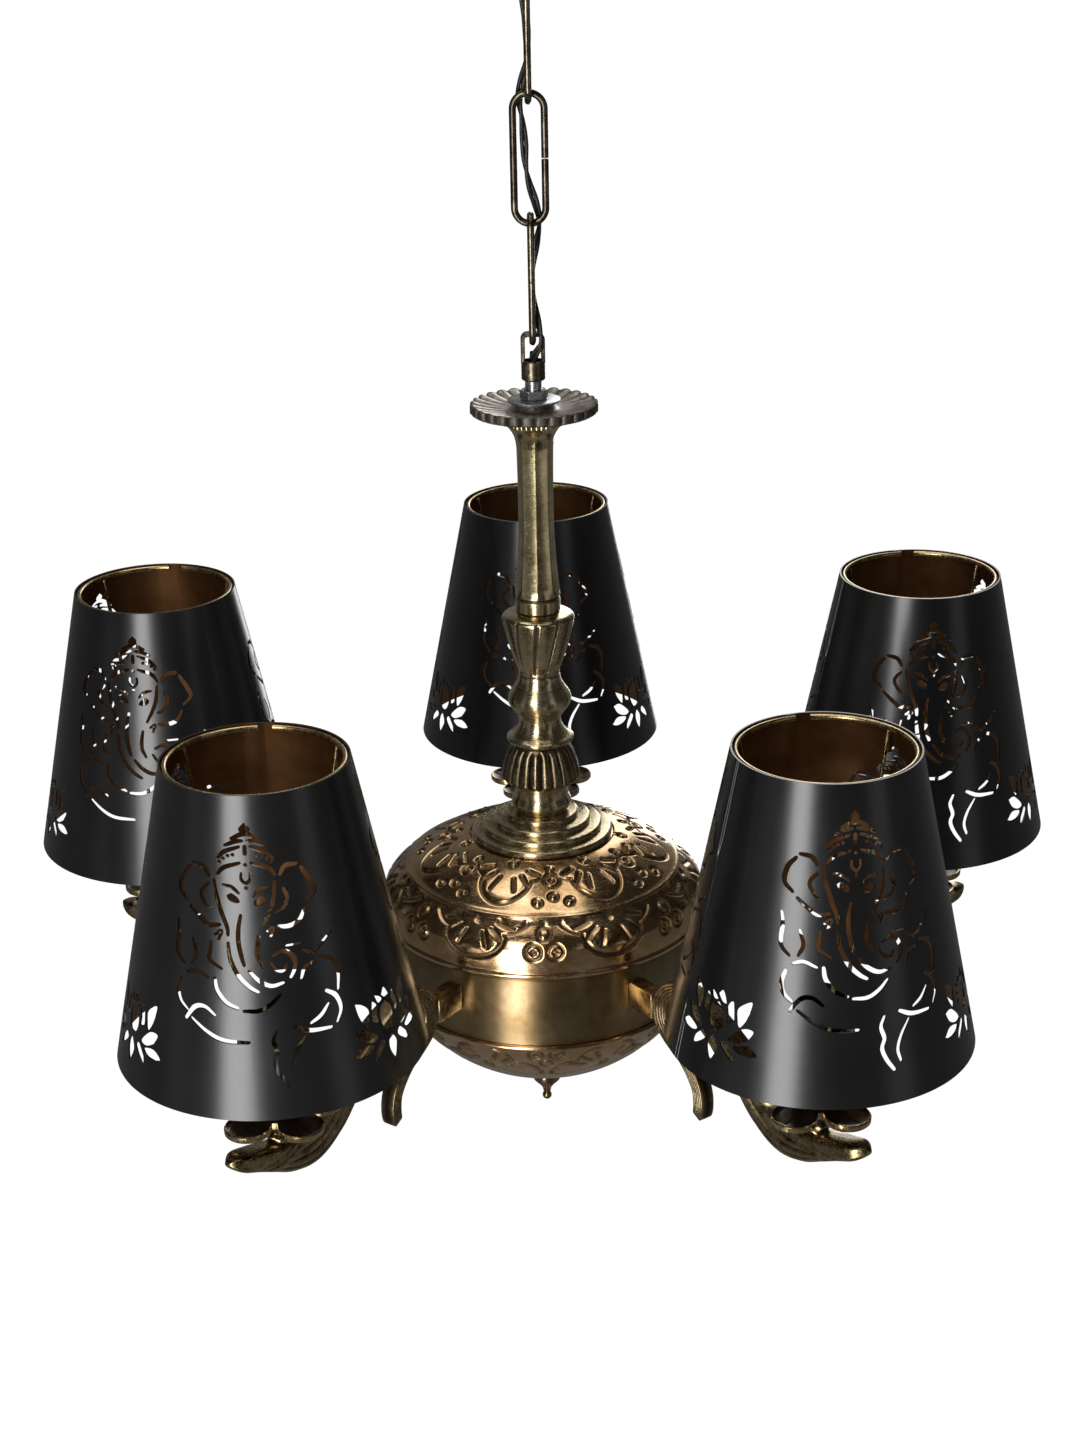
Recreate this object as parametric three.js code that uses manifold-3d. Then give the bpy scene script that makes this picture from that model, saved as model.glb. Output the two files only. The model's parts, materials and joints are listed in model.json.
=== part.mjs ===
// A five-arm brass chandelier with pierced metal shades, hung from the ceiling on a long-link chain.
// Millimetres, +Z up. The origin lies on the ceiling, over the chain.
// An azimuth is in degrees, counted from -Y, which is the front, towards +X.
import * as THREE from 'three';
import { mergeVertices } from 'three/addons/utils/BufferGeometryUtils.js';
import Module from 'manifold-3d';

const wasm = await Module();
wasm.setup();

// Clearances and stock
const gap = 0.3;
const sheet = 1.2;
const threadRadius = 5;

// Ceiling fitting
const canopyRadius = 56;
const canopyDepth = 44;
const canopyNeckRadius = 12;
const barLength = 88;
const barWidth = 22;
const barThickness = 2.5;
const slotSpacing = 66;
const slotLength = 12;
const slotWidth = 5;
const bushRadius = 8.5;
const bushDepth = 9;
const collarRadius = 11;
const collarHeight = 9;
const loopBossHeight = 5.6;
const loopRadius = 8;
const terminalLength = 20;
const terminalWidth = 13;
const terminalHeight = 11;
const leadHoleRadius = 3.4;

// Chain and hanger
const wire = 4;
const linkLength = 74;
const linkWidth = 21.2;
const linkSeam = 0.8;
const strapThickness = 2.4;
const strapWidth = 6;
const stirrupWidth = 13.7;
const stirrupOpening = 13.6;
const bridgeClearance = 1;
const couplerRadius = 6.75;
const couplerLength = 11;

// Twin lead
const leadCore = 2.4;

// Central rod and its fastenings
const rodBore = 3.8;
const threadShown = 5.6;
const nutAcrossFlats = 14;
const nutHeight = 5;
const washerRadius = 15;
const washerThickness = 1.5;
const portRadius = 4;
const rodSeat = 3;

// Turned and cast stem, from the top down
const bobecheRadius = 36.8;
const bobecheDepth = 8.6;
const bobecheRim = 6;
const scallopCount = 16;
const scallopDepth = 1.6;
const columnHeight = 115;
const columnTopRadius = 17.4;
const columnWaistRadius = 10.2;
const columnFootRadius = 13.2;
const columnFacets = 8;
const vaseHeight = 38.7;
const vaseRadius = 21.2;
const vaseFootRadius = 12.6;
const fluteCount = 10;
const fluteDepth = 0.9;
const knopHeight = 42.7;
const knopRadius = 18.8;
const knopNeckRadius = 12.5;
const knopLipRadius = 20;
const bellHeight = 25.7;
const bellRadius = 23.4;
const gadroonCount = 10;
const gadroonDepth = 1.4;
const socketHeight = 17.7;
const socketRadius = 16.5;
const socketRingRadius = 17.8;

// Drum body
const stepRadii = [22.1, 29.3, 36.1, 42.4];
const stepDrop = 3.7;
const creaseRadius = 81.7;
const creaseDrop = 17.8;
const bellyRadius = 98;
const bellyDrop = 21;
const beadDrop = 10;
const bandDrop = 6.5;
const bandRadius = 91;
const bandHeight = 42;
const spigotDepth = 6;
const bowlLip = 1.5;
const bowlLipHeight = 3;
const bowlDepth = 55;
const drumSides = 20;
const connectorRadius = 16;
const connectorHeight = 12;

// Finial
const finialRadius = 8.9;
const finialHeight = 30;
const finialBallRadius = 3;

// Arms
const armCount = 5;
const armRadius = 247;
const firstArmAzimuth = -36;
const bossWidth = 12;
const bossHeight = 16;
const bossDepth = 22;
const bossLift = 4.5;
const screwRadius = 2.5;
const screwHeadRadius = 4.4;
const screwHeadHeight = 3;
const screwGrip = 7.5;
const stemRadius = 6.2;
const stemDepth = 25;
const cupLift = 2.3;
const spigotLength = 14;

// Drip cup, lampholder and shade
const cupRadius = 37;
const cupNotch = 14;
const cupThickness = 3.4;
const cupRim = 0.8;
const holderSides = 10;
const holderHeight = 62;
const holderRadius = 19.5;
const holderNeckRadius = 14.4;
const holderNeckHeight = 18;
const socketBore = 13.2;
const socketDepth = 38;
const galleryThickness = 1.6;
const galleryRadius = 19.5;
const strutRadius = 1.2;
const strutCount = 3;
const hemRadius = 1.6;
const hemGap = 8;
const shadeHeight = 163;
const shadeTopRadius = 49;
const shadeBottomRadius = 82.5;
const shadeWall = 1;
const shadeRise = 40.7;
const shadeSides = 18;
const shadeTurns = [-1, 9, 1, 0, -8];

// Pierced figures: three of each in a shade
const figureCount = 3;
const figureFoot = 17;
const figureHead = 13;
const lotusFoot = 11;
const lotusHeight = 37;

const brass = { color: 0x8f6f3c, roughness: 0.32, metalness: 1 };
const darkBrass = { color: 0x4b3822, roughness: 0.4, metalness: 1 };
const castBrass = { color: 0x6f5730, roughness: 0.42, metalness: 1 };
const zinc = { color: 0xb9bec3, roughness: 0.35, metalness: 1 };
const steel = { color: 0x8a8d90, roughness: 0.45, metalness: 1 };
const blackSteel = { color: 0x17181b, roughness: 0.42, metalness: 0.2 };
const bakelite = { color: 0x14110f, roughness: 0.5, metalness: 0 };
const leadCover = { color: 0x101012, roughness: 0.55, metalness: 0 };
const porcelain = { color: 0xe4e0d6, roughness: 0.4, metalness: 0 };

const degree = Math.PI / 180;
const fullTurn = 360;
const backward = 90;
const flatness = 0.002;

// Weld a geometry, drop its empty triangles and turn its faces outward
function closed(geometry) {
  const plain = geometry.clone();
  plain.deleteAttribute('normal');
  plain.deleteAttribute('uv');
  const welded = mergeVertices(plain, 1e-4);
  const place = welded.attributes.position;
  const corners = [0, 1, 2].map(() => new THREE.Vector3());
  const kept = [];
  let volume = 0;
  for (let i = 0; i < welded.index.count; i += 3) {
    const face = [0, 1, 2].map((k) => welded.index.getX(i + k));
    if (face[0] === face[1] || face[1] === face[2] || face[2] === face[0]) continue;
    corners.forEach((corner, k) => corner.fromBufferAttribute(place, face[k]));
    volume += corners[0].dot(corners[1].clone().cross(corners[2]));
    kept.push(...face);
  }
  if (volume < 0) {
    for (let i = 0; i < kept.length; i += 3) [kept[i], kept[i + 1]] = [kept[i + 1], kept[i]];
  }
  welded.setIndex(kept);
  welded.computeVertexNormals();
  return welded;
}

function toSolid(geometry) {
  const mesh = closed(geometry);
  const vertProperties = Float32Array.from(mesh.attributes.position.array);
  const triVerts = Uint32Array.from(mesh.index.array);
  return new wasm.Manifold(new wasm.Mesh({ numProp: 3, vertProperties, triVerts }));
}

// Back to a geometry, with flat neighbours merged
function toGeometry(solid) {
  const mesh = solid.asOriginal().simplify(flatness).getMesh();
  const geometry = new THREE.BufferGeometry();
  geometry.setAttribute('position', new THREE.BufferAttribute(mesh.vertProperties, 3));
  geometry.setIndex(new THREE.BufferAttribute(mesh.triVerts, 1));
  geometry.computeVertexNormals();
  return geometry;
}

function joined(geometries) {
  return toGeometry(geometries.map(toSolid).reduce((whole, piece) => whole.add(piece)));
}

function cut(geometry, cutters) {
  return toGeometry(cutters.map(toSolid).reduce((whole, piece) => whole.subtract(piece), toSolid(geometry)));
}

// Turn a profile of [radius, height, ripple depth] about Z; ripple(azimuth) runs from 0, proud, to 1, sunk
function revolve(profile, sides, ripple = () => 0) {
  const points = profile.map(([radius, height]) => new THREE.Vector2(radius, height));
  const geometry = new THREE.LatheGeometry(points, sides);
  geometry.rotateX(Math.PI / 2);
  const place = geometry.attributes.position;
  for (let i = 0; i < place.count; i += 1) {
    const depth = profile[i % profile.length][2] ?? 0;
    const azimuth = ((2 * Math.PI) / sides) * Math.floor(i / profile.length);
    const radius = Math.hypot(place.getX(i), place.getY(i));
    if (depth === 0 || radius === 0) continue;
    const scale = 1 - (depth * ripple(azimuth)) / radius;
    place.setXY(i, place.getX(i) * scale, place.getY(i) * scale);
  }
  return closed(geometry);
}

function ring(profile, sides, ripple) {
  return revolve([...profile, profile[0]], sides, ripple);
}

// Even waves round a piece; a wave as deep as a facet's hollow leaves a plain polygon of that many corners
const waves = (count) => (azimuth) => (1 - Math.cos(count * azimuth)) / 2;
const facetDepth = (radius, count) => radius * (1 - Math.cos(Math.PI / count));

function cylinder(radius, low, high, sides) {
  return ring([[0, low], [radius, low], [radius, high], [0, high]], sides);
}

function tube(inner, outer, low, high, sides) {
  return ring([[inner, low], [outer, low], [outer, high], [inner, high]], sides);
}

function hexNut(acrossFlats, bore, low, high) {
  const corner = acrossFlats / 2 / Math.cos(30 * degree);
  return cut(cylinder(corner, low, high, 6), [cylinder(bore, low - 1, high + 1, 10)]);
}

function box(width, depth, height, x, y, z) {
  return closed(new THREE.BoxGeometry(width, depth, height).translate(x, y, z));
}

// A bent wire or lead: straight runs between hand-set points, one section at each point
class Route extends THREE.Curve {
  constructor(points) {
    super();
    this.points = points;
  }

  getPoint(t, target = new THREE.Vector3()) {
    const last = this.points.length - 1;
    const at = Math.min(Math.max(t, 0), 1) * last;
    const from = Math.min(Math.floor(at), last - 1);
    return target.lerpVectors(this.points[from], this.points[from + 1], at - from);
  }

  getUtoTmapping(u) {
    return u;
  }
}

function sweep(points, outline) {
  const shape = new THREE.Shape(outline);
  const steps = points.length - 1;
  return closed(new THREE.ExtrudeGeometry(shape, { steps, extrudePath: new Route(points), bevelEnabled: false }));
}

function circle(radius, sides) {
  return Array.from({ length: sides }, (unused, i) => {
    const turn = (2 * Math.PI * (i + 0.5)) / sides;
    return new THREE.Vector2(radius * Math.cos(turn), radius * Math.sin(turn));
  });
}

function arc(centre, radius, from, to, steps) {
  return Array.from({ length: steps + 1 }, (unused, i) => {
    const turn = (from + ((to - from) * i) / steps) * degree;
    return [centre[0] + radius * Math.cos(turn), centre[1] + radius * Math.sin(turn)];
  });
}

// Skin through rings of points, with each end closed on its own middle
function loft(rings) {
  const count = rings[0].length;
  const points = rings.flat();
  const faces = [];
  for (let i = 0; i + 1 < rings.length; i += 1) {
    for (let k = 0; k < count; k += 1) {
      const a = i * count + k;
      const b = i * count + ((k + 1) % count);
      faces.push(a, b, b + count, a, b + count, a + count);
    }
  }
  [rings[0], rings[rings.length - 1]].forEach((end, side) => {
    const middle = points.length;
    const first = side === 0 ? 0 : (rings.length - 1) * count;
    points.push(end.reduce((sum, p) => sum.add(p), new THREE.Vector3()).divideScalar(count));
    for (let k = 0; k < count; k += 1) {
      const a = first + k;
      const b = first + ((k + 1) % count);
      faces.push(...(side === 0 ? [middle, b, a] : [middle, a, b]));
    }
  });
  const geometry = new THREE.BufferGeometry().setFromPoints(points);
  geometry.setIndex(faces);
  return closed(geometry);
}

const chandelier = new THREE.Group();

function add(name, geometry, finish, parent = chandelier) {
  const mesh = new THREE.Mesh(geometry, new THREE.MeshStandardMaterial(finish));
  mesh.name = name;
  parent.add(mesh);
  return mesh;
}

// Ceiling fitting: a slotted bar, a cup over it, and a screwed loop with a ring collar
const bore = threadRadius + gap;
const collarTop = -canopyDepth - gap;
const loopBossTop = collarTop - collarHeight - gap;
const loopCentre = loopBossTop - loopBossHeight - loopRadius;
const bushBottom = -barThickness - bushDepth;

function ceilingBar() {
  const plate = box(barLength, barWidth, barThickness, 0, 0, -barThickness / 2);
  const bush = cylinder(bushRadius, bushBottom, -barThickness / 2, 16);
  const slots = [-1, 1].map((side) => {
    const x = (side * slotSpacing) / 2;
    return box(slotLength, slotWidth, 3 * barThickness, x, 0, -barThickness / 2);
  });
  const tapped = cylinder(bore, bushBottom - 1, -barThickness, 16);
  return cut(joined([plate, bush]), [...slots, tapped]);
}

function canopy() {
  const shoulder = canopyRadius - canopyNeckRadius;
  const outer = [
    [canopyRadius, 0],
    [canopyRadius - 0.11 * shoulder, -0.42 * canopyDepth],
    [canopyRadius - 0.42 * shoulder, -0.8 * canopyDepth],
    [canopyNeckRadius, -canopyDepth],
    [bore, -canopyDepth],
  ];
  const inner = [
    [bore, -canopyDepth + sheet],
    [canopyNeckRadius, -canopyDepth + sheet],
    [canopyRadius - 0.42 * shoulder - 0.6 * sheet, -0.8 * canopyDepth + sheet],
    [canopyRadius - 0.11 * shoulder - sheet, -0.42 * canopyDepth + 0.3 * sheet],
    [canopyRadius - sheet, 0],
  ];
  const hole = cylinder(leadHoleRadius, -canopyDepth - 1, 0, 8).translate(leadHoleX, 0, 0);
  return cut(ring([...outer, ...inner], 18), [hole]);
}

function ceilingLoop() {
  const eye = new THREE.TorusGeometry(loopRadius, wire / 2, 6, 12).rotateX(Math.PI / 2);
  eye.translate(0, 0, loopCentre);
  const boss = cylinder(threadRadius + 1.5, loopCentre + loopRadius - 1, loopBossTop, 8);
  const screw = cylinder(threadRadius, loopBossTop - 1, -barThickness - gap, 8);
  return joined([eye, boss, screw]);
}

const leadHoleX = -(canopyNeckRadius + leadHoleRadius + 1.6);
const terminalX = -(bushRadius + terminalLength / 2 + 5);
const terminalTop = -barThickness - gap;
add('ceiling_bar', ceilingBar(), steel);
add('canopy', canopy(), brass);
add('canopy_collar', tube(bore, collarRadius, collarTop - collarHeight, collarTop, 12), brass);
add('ceiling_loop', ceilingLoop(), brass);
const terminalMiddle = terminalTop - terminalHeight / 2;
add(
  'ceiling_terminal',
  box(terminalLength, terminalWidth, terminalHeight, terminalX, 0, terminalMiddle),
  porcelain,
);

// Chain: open-jointed wire links, each turned a quarter from the one above
const bendRadius = (linkWidth - wire) / 2;
const seat = wire + gap;
const linkPitch = linkLength - 2 * wire - gap;
const pivots = [0, 1, 2, 3].map((i) => loopCentre - loopRadius - i * linkPitch);

function chainLink() {
  const straight = (linkLength - linkWidth) / 2;
  const lower = arc([0, -straight], bendRadius, 0, -180, 6);
  const upper = arc([0, straight], bendRadius, 180, 0, 6);
  const bends = [[bendRadius, -linkSeam / 2], ...lower, ...upper, [bendRadius, linkSeam / 2]];
  return sweep(bends.map(([u, z]) => new THREE.Vector3(u, 0, z)), circle(wire / 2, 6));
}

for (let i = 0; i < 3; i += 1) {
  const link = add(`chain_link_${i + 1}`, chainLink(), i === 1 ? darkBrass : brass);
  link.position.z = pivots[i] + seat - linkLength / 2 + wire / 2;
  link.rotation.z = i % 2 === 0 ? Math.PI / 2 : 0;
}

// Hanger: a bent strap brazed on a tapped coupler, which takes the top of the rod
const hangerPivot = pivots[3];
const bridgeUnder = hangerPivot + wire / 2 + bridgeClearance;
const couplerTop = bridgeUnder - stirrupOpening;
const couplerBottom = couplerTop - couplerLength;

function hanger() {
  const side = stirrupWidth / 2;
  const inside = side - strapThickness;
  const round = 2;
  const top = bridgeUnder + strapThickness;
  const shape = new THREE.Shape();
  shape.moveTo(side, couplerTop - 1);
  shape.lineTo(side, top - round);
  shape.absarc(side - round, top - round, round, 0, Math.PI / 2);
  shape.lineTo(round - side, top);
  shape.absarc(round - side, top - round, round, Math.PI / 2, Math.PI);
  shape.lineTo(-side, couplerTop - 1);
  shape.lineTo(-inside, couplerTop - 1);
  shape.lineTo(-inside, bridgeUnder);
  shape.lineTo(inside, bridgeUnder);
  shape.lineTo(inside, couplerTop - 1);
  const strap = new THREE.ExtrudeGeometry(shape, { depth: strapWidth, bevelEnabled: false, curveSegments: 2 });
  strap.rotateX(Math.PI / 2).translate(0, strapWidth / 2, 0);
  const coupler = cylinder(couplerRadius, couplerBottom, couplerTop, 12);
  const tapped = cylinder(bore, couplerBottom - 1, couplerTop + 0.01, 12);
  return cut(joined([strap, coupler]), [tapped]);
}

add('hanger_stirrup', hanger(), darkBrass);

// Stem stack, threaded on the rod from the nut down to the drum
const nutTop = couplerBottom - threadShown;
const washerTop = nutTop - nutHeight - gap;
const bobecheTop = washerTop - washerThickness - gap;
const columnTop = bobecheTop - bobecheDepth - gap;
const vaseTop = columnTop - columnHeight - gap;
const knopTop = vaseTop - vaseHeight - gap;
const bellTop = knopTop - knopHeight - gap;
const socketTop = bellTop - bellHeight - gap;
const stepsTop = socketTop - socketHeight - gap;
const stepsBottom = stepsTop - stepRadii.length * stepDrop;

function bobeche() {
  const edge = bobecheRadius;
  const rim = bobecheTop - bobecheRim;
  return ring([
    [bore, bobecheTop],
    [10.5, bobecheTop],
    [13.5, bobecheTop - 3],
    [edge, bobecheTop, scallopDepth],
    [edge, rim, scallopDepth],
    [columnTopRadius, bobecheTop - bobecheDepth],
    [bore, bobecheTop - bobecheDepth],
  ], 2 * scallopCount, waves(scallopCount));
}

function column() {
  const foot = columnTop - columnHeight;
  const flat = (radius) => facetDepth(radius, columnFacets);
  const neck = columnWaistRadius;
  return ring([
    [bore, columnTop],
    [columnTopRadius, columnTop],
    [columnTopRadius, columnTop - 4],
    [neck + 0.6, columnTop - 15, flat(neck)],
    [neck, foot + 0.48 * columnHeight, flat(neck)],
    [neck + 0.9, foot + 0.27 * columnHeight, flat(neck)],
    [columnFootRadius, foot + 9, flat(columnFootRadius)],
    [columnFootRadius - 1, foot + 8],
    [columnFootRadius, foot + 7],
    [columnFootRadius, foot],
    [bore, foot],
  ], 2 * columnFacets, waves(columnFacets));
}

function vase() {
  const foot = vaseTop - vaseHeight;
  const fall = vaseRadius - vaseFootRadius;
  return ring([
    [bore, vaseTop],
    [columnFootRadius, vaseTop],
    [vaseRadius, vaseTop - 3.8, fluteDepth / 2],
    [vaseRadius - 0.18 * fall, vaseTop - 0.32 * vaseHeight, fluteDepth],
    [vaseRadius - 0.54 * fall, foot + 0.36 * vaseHeight, fluteDepth],
    [vaseFootRadius - 0.6, foot],
    [bore, foot],
  ], 2 * fluteCount, waves(fluteCount));
}

function knop() {
  const foot = knopTop - knopHeight;
  const middle = knopTop - 0.36 * knopHeight;
  const neck = foot + 0.34 * knopHeight;
  return ring([
    [bore, knopTop],
    [knopNeckRadius - 0.6, knopTop],
    [knopNeckRadius + 0.6, knopTop - 3.5],
    [knopRadius - 1.6, middle + 4.5],
    [knopRadius, middle],
    [knopRadius - 1.8, middle - 5],
    [knopNeckRadius, neck],
    [knopNeckRadius + 1.6, foot + 8.5],
    [knopLipRadius, foot + 2.6],
    [bellRadius - 8, foot],
    [bore, foot],
  ], 14);
}

function gadroonBell() {
  const foot = bellTop - bellHeight;
  return ring([
    [bore, bellTop],
    [bellRadius - 8, bellTop, gadroonDepth / 2],
    [bellRadius - 3.4, bellTop - 0.28 * bellHeight, gadroonDepth],
    [bellRadius, foot + 0.22 * bellHeight, gadroonDepth],
    [bellRadius - 1.4, foot + 2, gadroonDepth],
    [socketRadius, foot],
    [bore, foot],
  ], 2 * gadroonCount, waves(gadroonCount));
}

function stemSocket() {
  const foot = socketTop - socketHeight;
  return ring([
    [bore, socketTop],
    [socketRadius, socketTop],
    [socketRadius, foot + 9],
    [socketRingRadius, foot + 6],
    [socketRadius - 1, foot],
    [bore, foot],
  ], 16);
}

function stepsPlate() {
  const treads = stepRadii.flatMap((radius, i) => {
    const level = stepsTop - i * stepDrop;
    return [[radius - 1.2, level - 0.9], [radius, level - stepDrop]];
  });
  const inside = stepRadii[stepRadii.length - 1] - 3;
  return ring([[bore, stepsTop], ...treads, [inside, stepsBottom], [bore, stepsTop - sheet]], 18);
}

add('top_nut', hexNut(nutAcrossFlats, bore, nutTop - nutHeight, nutTop), zinc).rotation.z = 8 * degree;
add('top_washer', tube(bore, washerRadius, washerTop - washerThickness, washerTop, 16), zinc);
add('bobeche_dish', bobeche(), castBrass);
add('stem_column', column(), castBrass);
add('stem_vase', vase(), castBrass);
add('stem_knop', knop(), brass);
add('gadroon_bell', gadroonBell(), castBrass);
add('stem_socket', stemSocket(), brass);
add('stepped_plate', stepsPlate(), brass);

// Drum: a pressed cover with a rolled bead, a plain band, and a bowl below
const domeTop = stepsBottom - gap;
const crease = domeTop - creaseDrop;
const bellyLow = crease - bellyDrop;
const bead = bellyLow - beadDrop;
const bandTop = bead - bandDrop;
const bandBottom = bandTop - bandHeight;
const drumMiddle = (bandTop + bandBottom) / 2;
const bandInside = bandRadius - sheet;
const drumFlat = Math.cos(Math.PI / drumSides);
const spigot = bandInside - gap;
const bowlTop = bandBottom - gap;
const bowlFloor = bowlTop - bowlLipHeight - bowlDepth;

// The drum's pieces keep a flat side towards each arm
function drumRing(profile) {
  return ring(profile, drumSides).rotateZ(Math.PI / drumSides);
}

function domeCover() {
  const plateEdge = stepRadii[stepRadii.length - 1];
  const outer = [
    [bore, domeTop + 3],
    [plateEdge, domeTop],
    [(plateEdge + creaseRadius) / 2, (domeTop + crease) / 2 + 1.2],
    [creaseRadius, crease],
    [bellyRadius - 3.8, crease - 0.4 * bellyDrop],
    [bellyRadius, bellyLow],
    [bellyRadius, bead + 2.6],
    [bellyRadius + 1, bead],
    [bandRadius, bandTop + gap],
    [spigot, bandTop + gap],
    [spigot, bandTop - spigotDepth],
  ];
  const inner = [
    [spigot - sheet, bandTop - spigotDepth],
    [spigot - sheet, bandTop + 1.6],
    [bellyRadius - 1.4, bead - 0.6],
    [bellyRadius - sheet, bellyLow],
    [creaseRadius - 0.4, crease - 1.6],
    [plateEdge, domeTop - 1.4],
    [bore, domeTop + 3 - sheet],
  ];
  return drumRing([...outer, ...inner]);
}

function radialHole(radius, from, to, height, azimuth) {
  const hole = cylinder(radius, from, to, 6).rotateX(Math.PI / 2).translate(0, 0, height);
  return hole.rotateZ(azimuth * degree);
}

const armAzimuths = Array.from({ length: armCount }, (unused, i) => firstArmAzimuth + (i * fullTurn) / armCount);

function drumBand() {
  const band = drumRing([
    [bandInside, bandBottom],
    [bandRadius, bandBottom],
    [bandRadius, bandTop],
    [bandInside, bandTop],
  ]);
  const holes = armAzimuths.map((azimuth) => (
    radialHole(screwRadius + gap, bandInside - 3, bandRadius + 3, drumMiddle + bossLift, azimuth)
  ));
  return cut(band, holes);
}

function bottomBowl() {
  const rimRadius = bandRadius + bowlLip;
  const rimLow = bowlTop - bowlLipHeight;
  const ball = (rimRadius ** 2 + bowlDepth ** 2) / (2 * bowlDepth);
  const edgeTurn = -Math.asin((ball - bowlDepth) / ball) / degree;
  const inTurn = -Math.acos(bore / ball) / degree;
  const outer = arc([0, bowlFloor + ball], ball, edgeTurn, inTurn, 5);
  const inner = arc([0, bowlFloor + ball], ball - sheet, inTurn, edgeTurn - 1, 4);
  return drumRing([
    [spigot, bowlTop + spigotDepth],
    [spigot, bowlTop],
    [rimRadius, bowlTop],
    ...outer,
    ...inner,
    [spigot - sheet, bowlTop + spigotDepth],
  ]);
}

// Finial, and what is inside the drum: a lock nut and a ring connector round the rod
const finialTop = bowlFloor - gap;
const finialBottom = finialTop - finialHeight;
const rodEnd = finialTop - 9;
const lockNutBottom = bowlFloor + sheet + gap + 0.4;
const connectorBottom = lockNutBottom + nutHeight + gap;
const connectorTop = connectorBottom + connectorHeight;
const portHeight = connectorTop + 9;

function finial() {
  const ballCentre = finialBottom + finialBallRadius;
  return ring([
    [0, rodEnd - gap],
    [bore, rodEnd - gap],
    [bore, finialTop],
    [finialRadius - 2.4, finialTop],
    [finialRadius - 1.6, finialTop - 8],
    [finialRadius, finialTop - 12],
    [finialRadius, finialTop - 15],
    [finialRadius - 3.4, finialTop - 17.5],
    [finialBallRadius - 0.4, finialTop - 21.5],
    [finialBallRadius - 0.8, ballCentre + 2],
    [finialBallRadius, ballCentre],
    [0, finialBottom],
  ], 10);
}

function centreRod() {
  const rod = tube(rodBore, threadRadius, rodEnd, couplerTop - rodSeat, 8);
  return cut(rod, [radialHole(portRadius, 0, threadRadius + 2, portHeight, 90)]);
}

add('centre_rod', centreRod(), steel);
add('dome_cover', domeCover(), brass);
add('drum_band', drumBand(), brass);
add('bottom_bowl', bottomBowl(), brass);
add('lock_nut', hexNut(nutAcrossFlats, bore, lockNutBottom, lockNutBottom + nutHeight), steel);
add('drum_connector', tube(bore, connectorRadius, connectorBottom, connectorTop, 10), porcelain);
add('finial', finial(), brass);

// Twin lead, from the ceiling terminal through the links and the rod to the drum connector
function leadOutline() {
  const core = leadCore / 2;
  const top = [[-1.3 * core, core], [0, 0.6 * core], [1.3 * core, core], [2 * core, 0]];
  return [...top, ...top.map(([u, v]) => [-u, -v])].map(([u, v]) => new THREE.Vector2(u, v));
}

function lead(name, points) {
  const path = points.map(([x, y, z]) => new THREE.Vector3(x, y, z));
  return add(name, sweep(path, leadOutline()), leadCover);
}

const half1 = (pivots[0] + pivots[1]) / 2;
const half2 = (pivots[1] + pivots[2]) / 2;
const half3 = (pivots[2] + pivots[3]) / 2;
const aside = bendRadius / 2 + 0.6;
const drift = 2.2;
const leadNear = 10;
const leadFar = 22;
const leadDrop = 12;
const leadBend = 14;

lead('lead_ceiling', [
  [terminalX + 2, 0, terminalTop - terminalHeight - gap],
  [terminalX + 3, 0, terminalTop - terminalHeight - 8],
  [leadHoleX - 3, -1, 8 - canopyDepth],
  [leadHoleX, 0, -canopyDepth],
  [leadHoleX + 1.5, -2, -canopyDepth - leadDrop],
  [-aside - 5, -aside - 2, pivots[0] + leadBend],
  [-aside, -aside, pivots[0]],
  [-aside + 1.6, -aside + 1.8, pivots[0] - leadNear],
  [-0.6, -drift, pivots[0] - leadFar],
  [0, -drift, half1 + gap / 2],
]);
lead('lead_link_1', [
  [0, -drift, half1 - gap / 2],
  [-0.6, -0.6, pivots[1] + leadFar],
  [-aside + 1.6, aside - 2, pivots[1] + leadNear],
  [-aside, aside, pivots[1]],
  [-aside + 1.4, aside - 2, pivots[1] - leadNear],
  [-drift - 0.4, 0.6, pivots[1] - leadFar],
  [-drift, 0, half2 + gap / 2],
]);
lead('lead_link_2', [
  [-drift, 0, half2 - gap / 2],
  [-0.4, 0.5, pivots[2] + leadFar],
  [aside - 1.8, aside - 1.6, pivots[2] + leadNear],
  [aside, aside, pivots[2]],
  [aside - 1.6, aside - 1.4, pivots[2] - leadNear],
  [0.6, drift + 0.4, pivots[2] - leadFar],
  [0, drift, half3 + gap / 2],
]);
lead('lead_link_3', [
  [0, drift, half3 - gap / 2],
  [0.6, 0.2, hangerPivot + leadFar],
  [aside - 1.4, -aside + 1.2, hangerPivot + leadNear],
  [aside, -6.2, hangerPivot + 1],
  [aside - 1.6, -6.3, hangerPivot - 2.5],
  [1.3, -4.6, hangerPivot - 6],
  [0, -1.4, hangerPivot - 9.5],
  [0, 0, couplerTop + 0.5],
  [0, 0, couplerTop - rodSeat + gap],
]);
lead('lead_stem', [
  [0, 0, couplerTop - rodSeat],
  [0, 0, nutTop],
  [0, 0, columnTop],
  [0, 0, bellTop],
  [0, 0, drumMiddle],
  [0, 0, portHeight + 7],
  [1.2, 0, portHeight + 2],
  [6, 0, portHeight - 1.5],
  [9.5, 0, connectorTop + 4],
  [10, 0, connectorTop + gap],
]);

// Arm: one casting, from the tip of its leaf in under the cup, over the boss, round the scroll and to its foot
const armBase = bandRadius * drumFlat + gap;

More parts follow.
